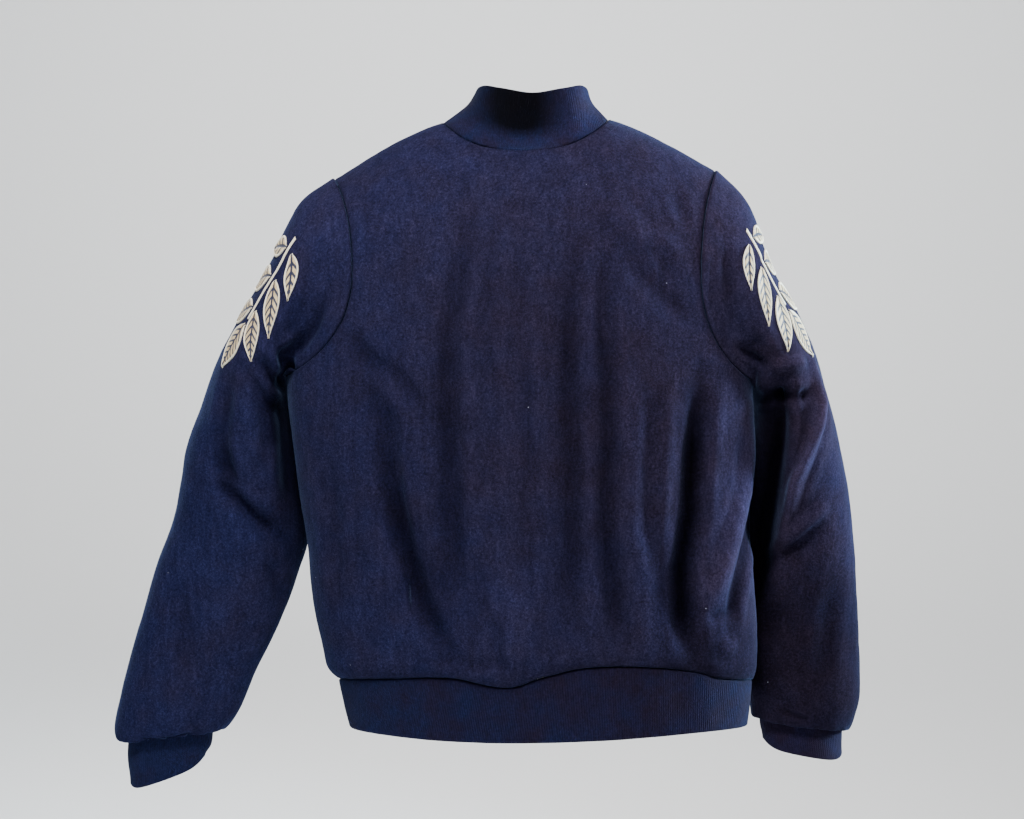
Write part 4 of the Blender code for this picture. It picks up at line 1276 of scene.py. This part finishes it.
# %% The spray's layout
# Places are in mm on the cloth from the spray's middle: across (towards the back) and down.
Leaf = namedtuple("Leaf", "across down heading length width")
SPRAY_TURN, SPRAY_ALONG = 0.125, 3.0
LEAVES = [
    Leaf(4, 24, -4, 58, 32),
    Leaf(8, 4, 50, 52, 29), Leaf(-5, 8, -52, 50, 28),
    Leaf(8, -34, 58, 52, 30), Leaf(-6, -28, -56, 50, 28),
    Leaf(7, -64, 66, 38, 22), Leaf(-6, -60, -60, 36, 21),
]
STEM_PATH = [(-74, -2), (-40, 0), (-6, 1), (18, 3)]      # down, across
STEM_WIDTH, STEM_RISE, CORD_WIDTH, CORD_RISE = 3.2, 1.3, 2.5, 1.7
SATIN_RISE, SATIN_CROWN, RIB_RISE, EDGE_RISE, MIDRIB_HALF = 1.15, 0.25, 0.7, 0.25, 1.1
THREAD_SINK, THREAD_WALL = 0.3, 0.35             # how far an edge sinks in, and the backing
LEAF_SWELL, LEAF_TIP = 0.85, 0.12                # a leaf's fullness, and its least share of width
LEAF_STEPS, STEM_STEPS = 40, 60


def spray_scale(side, step=0.02):
    """Millimetres of cloth to one turn and to one ring, at the spray's middle."""
    here = sleeve_point(side, SPRAY_TURN, SPRAY_ALONG)
    return ((sleeve_point(side, SPRAY_TURN + step, SPRAY_ALONG) - here).length / step,
            (sleeve_point(side, SPRAY_TURN, SPRAY_ALONG + step) - here).length / step)


SPRAY_SCALE = {word: spray_scale(sign) for word, sign in SIDES.items()}


def on_cloth(word, across, down, rise):
    girth, pitch = SPRAY_SCALE[word]
    place, normal = skin_at(word, SPRAY_TURN + across / girth, SPRAY_ALONG + down / pitch)
    return place + normal * rise


# %% The embroidery's finishes
VEIN_COLOUR = (0.012, 0.014, 0.035, 1)


def thread_material(name, first, second, pitch, veins=None):
    """Satin stitch: fine parallel threads that lean out from the middle line."""
    thread = Finish(name, Roughness=0.42, Sheen_Weight=0.03, Specular_IOR_Level=0.25)
    place = thread.place()
    u, v = thread.flat_place()
    slant = thread.maths("MULTIPLY_ADD", thread.maths("ABSOLUTE", u), -0.8, v)
    waved = thread.maths("MULTIPLY_ADD", thread.noise(place, 260.0, 2.0), 0.0006, slant)

    def repeated(length):
        """0 to 0.5 and back over each length in mm across the threads."""
        return thread.maths("PINGPONG", thread.maths("MULTIPLY", waved, 1 / (length * MM)), 0.5)

    strand = repeated(pitch)
    patches = thread.ramp(thread.noise(place, 500.0), (0.35, 0.0), (0.65, 1.0))
    lit = thread.product(thread.mix(patches, (*first, 1), (*second, 1)),
                         thread.ramp(strand, (0.0, 0.55), (0.28, 1.05)))
    if veins:
        spacing, width = veins
        vein = thread.ramp(repeated(spacing), (width / spacing * 0.7, 1.0),
                           (width / spacing * 1.1, 0.0))
        lit = thread.mix(vein, lit, VEIN_COLOUR)
    return thread.done(Base_Color=lit, Normal=thread.bump(strand, 0.9, 0.35))


EMBROIDERY = [
    thread_material("gold_thread", (0.42, 0.30, 0.155), (0.57, 0.44, 0.25), 0.55, (7.5, 1.7)),
    thread_material("cream_cord", (0.58, 0.51, 0.38), (0.70, 0.63, 0.50), 0.9),
    thread_material("navy_thread", (0.010, 0.012, 0.032), (0.020, 0.022, 0.05), 0.6),
]
SATIN, CORD, NAVY = range(3)


# %% Leaves and stems
def embroidered(name, node, rows, places, kinds):
    """A thin piece of thread work; places are mm across and along it, kinds its finishes."""
    mesh = grid_mesh(rows, lambda i, j: places[i][j], materials=kinds)
    declare(finished(name, mesh, EMBROIDERY, THREAD_WALL), "pale_gold_thread", node)


def leaf_profile(wide):
    """Columns from one edge to the middle: distance from the middle, rise, and finish."""
    rib = min(MIDRIB_HALF, wide * 0.2)
    cord = min(CORD_WIDTH, wide * 0.45)
    inside, shoulder = wide - cord, rib * 1.4
    columns = [(wide, EDGE_RISE - THREAD_SINK, CORD)]
    for k in range(1, 6):
        swell = math.sin(math.pi * k / 6) ** 0.7 * (1 if k < 4 else 0.92)
        columns.append((wide - cord * (1 - math.cos(math.pi * k / 6)) / 2,
                        EDGE_RISE + (CORD_RISE - EDGE_RISE) * swell, CORD))
    columns.append((inside, SATIN_RISE * 0.75, SATIN))
    columns += [(inside + (shoulder - inside) * k / 6,
                 SATIN_RISE + SATIN_CROWN * math.sin(math.pi * k / 6), SATIN) for k in range(1, 6)]
    return columns + [(shoulder, SATIN_RISE * 0.8, NAVY), (rib * 0.7, RIB_RISE, NAVY),
                      (0.0, RIB_RISE - 0.1, NAVY)]


def make_leaf(word, number, leaf):
    sine, cosine = math.sin(math.radians(leaf.heading)), math.cos(math.radians(leaf.heading))
    rows, places = [], []
    for t in [i / LEAF_STEPS for i in range(LEAF_STEPS + 1)]:
        out = t * leaf.length
        half = leaf_profile(leaf.width / 2 * max(math.sin(math.pi * t ** LEAF_SWELL), LEAF_TIP))
        whole = ([(-d, rise, kind) for d, rise, kind in half] + half[-2::-1])[::SIDES[word]]
        full = 0.35 + 0.65 * smooth_step(0, 0.04, min(t, 1 - t))
        rows.append([on_cloth(word, leaf.across + sine * out + cosine * d,
                              leaf.down + cosine * out - sine * d,
                              (rise + THREAD_SINK) * full - THREAD_SINK) for d, rise, _ in whole])
        places.append([(d, out) for d, _, _ in whole])
    tail = "%s_%d" % (word, number)
    embroidered("leaf_thread_" + tail, "leaf_" + tail, rows, places, [kind for _, _, kind in whole])


def make_stem(word):
    keys, values = zip(*STEM_PATH)
    profile = [(STEM_WIDTH / 2 * math.cos(math.pi * k / 8), STEM_RISE * math.sin(math.pi * k / 8) - 0.1)
               for k in range(8, -1, -1)][::SIDES[word]]
    downs = [keys[0] + (keys[-1] - keys[0]) * i / STEM_STEPS for i in range(STEM_STEPS + 1)]
    rows = [[on_cloth(word, smooth_values(keys, values, down) + x, down, rise) for x, rise in profile]
            for down in downs]
    places = [[(x, down) for x, _ in profile] for down in downs]
    embroidered("stem_thread_" + word, "stem_" + word, rows, places, [CORD] * len(profile))


for word in SIDES:
    make_stem(word)
    for number, leaf in enumerate(LEAVES, 1):
        make_leaf(word, number, leaf)
print("leaves:", 2 * len(LEAVES))

# %% [markdown]
# ## The zip
#
# A coarse metal zip: two woven tapes, a row of teeth on each, and a slider with a pull tab. The
# tapes lie a little below the cloth. The teeth are one small bevelled block copied down both
# edges, turned by half a step against each other so that they mesh.

# %% Finishes of the zip
WEAVE_PITCH = 0.9                                # mm


def brass_material():
    brass = Finish("aged_brass", Metallic=1.0)
    place = brass.place()
    scratch = brass.noise(brass.stretched(place, 0.08), 2600.0, 2.0)
    colour = brass.ramp(brass.noise(place, 180.0, 5.0), (0.35, (0.33, 0.24, 0.12)),
                        (0.6, (0.62, 0.50, 0.28)))
    return brass.done(Base_Color=colour, Roughness=brass.ramp(scratch, (0.3, 0.24), (0.7, 0.48)),
                      Normal=brass.bump(scratch, 0.15, 0.05))


def tape_material():
    tape = Finish("zip_tape_weave", Roughness=0.8)
    u, v = tape.flat_place()
    threads = 1 / (WEAVE_PITCH * MM)
    leaned = tape.maths("MULTIPLY_ADD", u, threads, tape.maths("MULTIPLY", v, threads))
    weave = tape.maths("PINGPONG", leaned, 0.5)
    colour = tape.product(
        tape.ramp(weave, (0.05, (0.006, 0.007, 0.018)), (0.4, (0.018, 0.020, 0.048))),
        tape.ramp(tape.noise(tape.place(), 900.0), (0.3, 0.7), (0.7, 1.5)))
    return tape.done(Base_Color=colour, Normal=tape.bump(weave, 0.7, 0.25))


BRASS, TAPE = brass_material(), tape_material()

# %% Tapes
CHAIN_TOP_ROW = 0.2
TAPE_FACE = 0.3 - TAPE_DEPTH
TAPE_COLUMNS, TAPE_STEP, TAPE_SPLIT = 6, 0.12, 0.2


def zip_place(sign, share, at):
    """A place on the zip: share 0 at the centre, 1 at a front's edge; at counts rows, then the rib."""
    if at <= LAST_ROW:
        return torso_point(-1, sign * share * zip_share(sign, at), at)
    top, low = hem_band_ends(-1, sign * share * zip_share(sign, LAST_ROW))
    return top.lerp(low, at - LAST_ROW)


def zip_line_keys(first):
    count = round((LAST_ROW + 1 - first) / TAPE_STEP)
    return [first + (LAST_ROW + 1 - first) * i / count for i in range(count + 1)]


for word, sign in SIDES.items():
    rows = [[zip_place(sign, k / TAPE_COLUMNS, at) for k in range(TAPE_COLUMNS + 1)][::sign]
            for at in zip_line_keys(0.0)]
    sunk = [[point - normal * TAPE_DEPTH for point, normal in zip(*pair)]
            for pair in zip(rows, grid_normals(rows))]
    for line in sunk:
        line[0].x += TAPE_SPLIT
        line[-1].x -= TAPE_SPLIT
    tape = finished("tape_zip_" + word, grid_mesh(sunk, cloth_uv(sunk)), [TAPE], TAPE_WALL)
    declare(tape, "navy_tape", "zip_tape_" + word)

# %% Teeth
TOOTH_PITCH = 3.1
TOOTH = (3.4, 2.0, 1.45)                         # across, out and down
HEAD_OFFSET, TOOTH_LIFT = 1.35, 1.0              # a tooth's middle from the zip's, and off the tape


def level_axes(down):
    """Across, outward and downward directions where the zip runs down one way."""
    across = (Vector((1, 0, 0)) - down * down.x).normalized()
    return across, down.cross(across), down


def stood(axes, place):
    """A matrix that stands a small part on a place in mm, with its axes turned to three others."""
    matrix = Matrix(axes).transposed().to_4x4()
    matrix.translation = place * MM
    return matrix


def bevelled(mesh, edges, width, segments=2):
    return bmesh.ops.bevel(mesh, geom=edges, offset=width * MM, segments=segments, profile=0.5,
                           affect="EDGES", material=-1, clamp_overlap=True)["verts"]


def make_teeth():
    mesh = bmesh.new()
    line = [zip_place(1, 0.0, at) for at in zip_line_keys(CHAIN_TOP_ROW)]
    lengths = lengths_along(line)
    for i in range(1, int(lengths[-1] / TOOTH_PITCH * 2)):
        here, ahead, behind = [resampled(line, lengths, i * TOOTH_PITCH / 2 + d) for d in (0, 2, -2)]
        axes = level_axes((ahead - behind).normalized())
        made = bmesh.ops.create_cube(mesh, size=1)["verts"]
        edges = list({edge for vert in made for edge in vert.link_edges})
        bmesh.ops.scale(mesh, verts=made, vec=Vector(TOOTH) * MM)
        aside = axes[0] * (HEAD_OFFSET if i % 2 == 0 else -HEAD_OFFSET)
        place = here + aside + axes[1] * (TAPE_FACE + TOOTH_LIFT)
        bmesh.ops.transform(mesh, verts=bevelled(mesh, edges, 0.35, 1), matrix=stood(axes, place))
    declare(finished("zip_teeth", mesh, [BRASS], smooth=False), "brass", "zip_chain")


make_teeth()

# %% [markdown]
# ## Slider and pull tab
#
# The slider is a plate with two side walls that straddle the teeth, and a small arch on top. The
# pull tab hangs on a bar through that arch and is the one piece that swings. Both are outlines
# pushed into solids, with their edges bevelled, and they take the place of the plain ones.

# %% Sizes of the slider and tab
SLIDER_ROW, STRAIGHT_ROWS = 0.55, (0.05, 0.95)   # the slider's row, and a straight stretch round it
CHAIN_WALL, SEAM_GAP = 2.0, 0.3
SLIDER_WIDTH, SLIDER_LENGTH, PLATE = 11.0, 14.0, 1.6
SLIDER_TAPER, SLIDER_NECK = 1.2, -1.0            # it narrows from its neck down
ARCH_WIDTH, ARCH_WALL, ARCH_ROOM, ARCH_HALF = 2.4, 1.3, 3.4, 3.7
TAB_WIDTH, TAB_LENGTH, TAB_WALL = 8.0, 31.0, 1.6
BAR_HALF, EYE_END, EYE_SLACK = 1.0, 6.4, 0.4
RIM, INLAY_RISE = 1.6, 0.2                       # the tab's flat rim, and the plate inside it
PLATE_LOW = TAPE_FACE + CHAIN_WALL + SEAM_GAP
PLATE_TOP = PLATE_LOW + PLATE
METAL_CREASE = 35                                # degrees above which an edge of metal is sharp


def zip_frame(lift):
    """The slider's frame on the centre front: x across, y out of the cloth and z down the zip."""
    start = math.asin(NECK_FRONT_SHARE)
    upper, lower = [torso_point(-1, 0, row_of_roll(start, start + (QUARTER - start) * row / ROLL_ROWS))
                    for row in STRAIGHT_ROWS]
    axes = level_axes((lower - upper).normalized())
    share = (SLIDER_ROW - STRAIGHT_ROWS[0]) / (STRAIGHT_ROWS[1] - STRAIGHT_ROWS[0])
    return stood(axes, upper.lerp(lower, share) + axes[1] * lift)


def pushed(mesh, faces, push):
    """Pushes flat faces into a solid along a direction in mm, and gives the new vertices."""
    made = bmesh.ops.extrude_face_region(mesh, geom=faces, use_keep_orig=True)["geom"]
    moved = [item for item in made if isinstance(item, bmesh.types.BMVert)]
    bmesh.ops.translate(mesh, verts=moved, vec=Vector(push) * MM)
    return moved


def pushed_outline(mesh, outline, axis, low, high, bevel):
    """Adds an outline of pairs, pushed along one axis from low to high, and bevelled."""
    first, second = [i for i in range(3) if i != axis]
    corners = []
    for pair in outline:
        spot = Vector((0, 0, 0))
        spot[axis], spot[first], spot[second] = low, *pair
        corners.append(mesh.verts.new(spot * MM))
    push = [high - low if i == axis else 0 for i in range(3)]
    verts = corners + pushed(mesh, [mesh.faces.new(corners)], push)
    bmesh.ops.recalc_face_normals(mesh, faces=list({f for v in verts for f in v.link_faces}))
    bevelled(mesh, list({e for v in verts for e in v.link_edges}), bevel)


def brass_piece(name, mesh, lift, node, body):
    bmesh.ops.transform(mesh, verts=mesh.verts, matrix=zip_frame(lift))
    declare(finished(name, mesh, [BRASS], sharp=METAL_CREASE), "brass", node, body=body)


# %% Making the slider
def make_slider():
    mesh = bmesh.new()
    half, end, inner = SLIDER_WIDTH / 2, SLIDER_LENGTH / 2, CHAIN_HALF_WIDTH + SEAM_GAP
    low = half - SLIDER_TAPER
    waist = [(-half, -end), (half, -end), (half, SLIDER_NECK), (low, end), (-low, end),
             (-half, SLIDER_NECK)]
    pushed_outline(mesh, waist, 1, PLATE_LOW, PLATE_TOP, 0.45)
    for side in (1, -1):
        wall = [(side * x, z) for x, z in (
            (half, -end), (half, SLIDER_NECK), (low, end), (inner - 0.6, end),
            (inner, SLIDER_NECK), (inner, -end))]
        pushed_outline(mesh, wall, 1, TAPE_FACE, PLATE_LOW + 0.6, 0.35)
    outside, foot, top_in = ARCH_HALF + ARCH_WALL, PLATE_TOP - PLATE / 2, PLATE_TOP + ARCH_ROOM
    top_out, corner = top_in + ARCH_WALL, 1.2
    arch = [(foot, -outside), (top_out - corner, -outside), (top_out, corner - outside),
            (top_out, outside - corner), (top_out - corner, outside), (foot, outside),
            (foot, ARCH_HALF), (top_in, ARCH_HALF), (top_in, -ARCH_HALF), (foot, -ARCH_HALF)]
    pushed_outline(mesh, arch, 0, -ARCH_WIDTH / 2, ARCH_WIDTH / 2, 0.3)
    brass_piece("slider_brass", mesh, 0, "zip_slider", "jacket")


# %% Making the pull tab
def make_tab():
    """A plate with an eye at the bar's end and a raised inlay on both faces."""
    mesh = bmesh.new()
    half, eye = TAB_WIDTH / 2, ARCH_WIDTH / 2 + EYE_SLACK
    sides = [(half, -BAR_HALF), (half, TAB_LENGTH - 3.0), (half - 0.9, TAB_LENGTH - 0.9),
             (half - 3.0, TAB_LENGTH)]
    rim = sides + [(-x, z) for x, z in sides[::-1]]
    hole = [(eye, BAR_HALF), (eye, EYE_END), (-eye, EYE_END), (-eye, BAR_HALF)]
    loops = []
    for outline in (rim, hole):
        verts = [mesh.verts.new((x * MM, -TAB_WALL / 2 * MM, z * MM)) for x, z in outline]
        loops += [mesh.edges.new((a, b)) for a, b in zip(verts, verts[1:] + verts[:1])]
    bmesh.ops.triangle_fill(mesh, edges=loops, use_beauty=True)
    pushed(mesh, mesh.faces[:], (0, TAB_WALL, 0))
    bmesh.ops.recalc_face_normals(mesh, faces=mesh.faces)
    corners = [e for e in mesh.edges if len(e.link_faces) == 2 and e.calc_face_angle() > 0.5]
    bevelled(mesh, corners, 0.35)
    x, low_z, high_z = half - RIM, EYE_END + 2 * RIM, TAB_LENGTH - 4.2
    inlay = [(-x, low_z), (x, low_z), (x, high_z), (-x, high_z)]
    for face in (TAB_WALL / 2, -TAB_WALL / 2):
        pushed_outline(mesh, inlay, 1, face - INLAY_RISE, face + INLAY_RISE, 0.15)
    brass_piece("pull_tab_brass", mesh, PLATE_TOP + ARCH_ROOM / 2, "zip_pull_tab", "pull_tab")


make_slider()
make_tab()

# %% [markdown]
# ## Stitches beside the zip
#
# The stitches are short threads that dip into the cloth at both ends. One is a thin bent tube of a
# few faces, copied along the groove in each front.

# %% Sewing the fronts
STITCH_PITCH, STITCH_LENGTH, STITCH_RADIUS = 3.2, 2.5, 0.28
STITCH_BEND, STITCH_SINK = 0.45, 0.35            # how far its middle rises, and its ends dip
STITCH_END_ROWS = 6                              # rows without stitches at both ends


def sew(mesh, line, outs):
    """Adds stitches along a line of points with outward directions."""
    lengths = lengths_along(line)
    for k in range(int(lengths[-1] / STITCH_PITCH) - 1):
        at = (k + 0.7) * STITCH_PITCH
        behind, here, ahead = [resampled(line, lengths, at + d) for d in (-1, 0, 1)]
        along, out = (ahead - behind).normalized(), resampled(outs, lengths, at).normalized()
        made = bmesh.ops.create_cone(mesh, cap_ends=True, segments=6, radius1=STITCH_RADIUS * MM,
                                     radius2=STITCH_RADIUS * MM, depth=STITCH_LENGTH * MM)["verts"]
        long_edges = [e for e in {e for v in made for e in v.link_edges}
                      if abs(e.verts[0].co.z - e.verts[1].co.z) > MM]
        bmesh.ops.subdivide_edges(mesh, edges=long_edges, cuts=2)
        new = [v for v in mesh.verts if not v.tag]
        for vert in new:
            vert.tag = True
            bend = 1 - (2 * vert.co.z / (STITCH_LENGTH * MM)) ** 2
            vert.co.y += (STITCH_BEND * bend - STITCH_SINK) * MM
        matrix = stood((along.cross(out), out, along), here)
        bmesh.ops.transform(mesh, verts=new, matrix=matrix)


def make_stitches():
    mesh = bmesh.new()
    for word, sign in SIDES.items():
        line, outs = [], []
        for row, normals in zip(front_skins[word], grid_normals(front_skins[word])):
            lengths = lengths_along(row[::sign])
            line.append(resampled(row[::sign], lengths, STITCH_INSET))
            outs.append(resampled(normals[::sign], lengths, STITCH_INSET))
        sewn = slice(STITCH_END_ROWS, -STITCH_END_ROWS)
        sew(mesh, line[sewn], outs[sewn])
    declare(finished("stitches_zip", mesh, [EMBROIDERY[NAVY]]), "navy_tape")


make_stitches()

# %% [markdown]
# ## Floor, light and camera
#
# The jacket hangs in a large pale bowl, so that nothing but an even pale grey shows behind it. A
# soft light stands above and behind the back, which it rakes from the shoulders down. A bluish one
# stands low at the jacket's right, like a window. A wide weak one fills in the front, and the last
# lights the bowl.

# %% A pale bowl for a floor
BOWL = ((0.001, -1.3), (2.2, -1.3), (3.2, -1.2), (4.2, -0.8), (5.0, -0.1), (5.5, 1.2), (5.6, 3.2))


def make_stage():
    mesh = bmesh.new()
    outline = [mesh.verts.new((radius, 0, height)) for radius, height in BOWL]
    edges = [mesh.edges.new(pair) for pair in zip(outline, outline[1:])]
    bmesh.ops.spin(mesh, geom=outline + edges, cent=(0, 0, 0), axis=(0, 0, 1),
                   angle=math.radians(360), steps=64, use_merge=True)
    bmesh.ops.recalc_face_normals(mesh, faces=mesh.faces)
    floor = Finish("pale_floor", Roughness=0.9, Base_Color=(0.80, 0.80, 0.80, 1))
    bowl = finished("stage_bowl", mesh, [floor.material])
    smooth = bowl.modifiers.new("smooth", "SUBSURF")
    smooth.levels = smooth.render_levels = 2


make_stage()


# %% Lights and camera
def soft_light(name, place, aim, size, power, spread=180, colour=(1, 1, 1)):
    data = bpy.data.lights.new(name, "AREA")
    data.shape, data.size, data.energy, data.color = "DISK", size, power, colour
    data.spread = math.radians(spread)
    light = placed(name, data)
    light.location = place
    light.rotation_euler = (Vector(aim) - Vector(place)).to_track_quat("-Z", "Y").to_euler()


soft_light("key", (0.1, 1.2, 1.15), (0, 0, -0.2), 0.5, 95)
soft_light("window", (-2.6, -0.35, 0.2), (-0.2, 0, -0.3), 0.6, 125, 90, (0.66, 0.88, 1.0))
soft_light("front_fill", (0.6, -3.0, 1.4), (0, 0, -0.3), 2.5, 80, 120)
soft_light("backdrop", (0, -2.6, 1.9), (0, -5.4, 1.0), 2.0, 99)

world = bpy.data.worlds.new("pale_world")
world.use_nodes = True
background = world.node_tree.nodes["Background"].inputs
background["Color"].default_value, background["Strength"].default_value = (0.9, 0.92, 0.95, 1), 0.45
bpy.context.scene.world = world

camera = placed("camera", bpy.data.cameras.new("camera"))
camera.data.lens, camera.data.sensor_width = 57.4, 36.0
camera.location = (0.015, 1.725, -0.304)
camera.rotation_euler = (math.radians(90), 0, math.radians(180))
bpy.context.scene.camera = camera
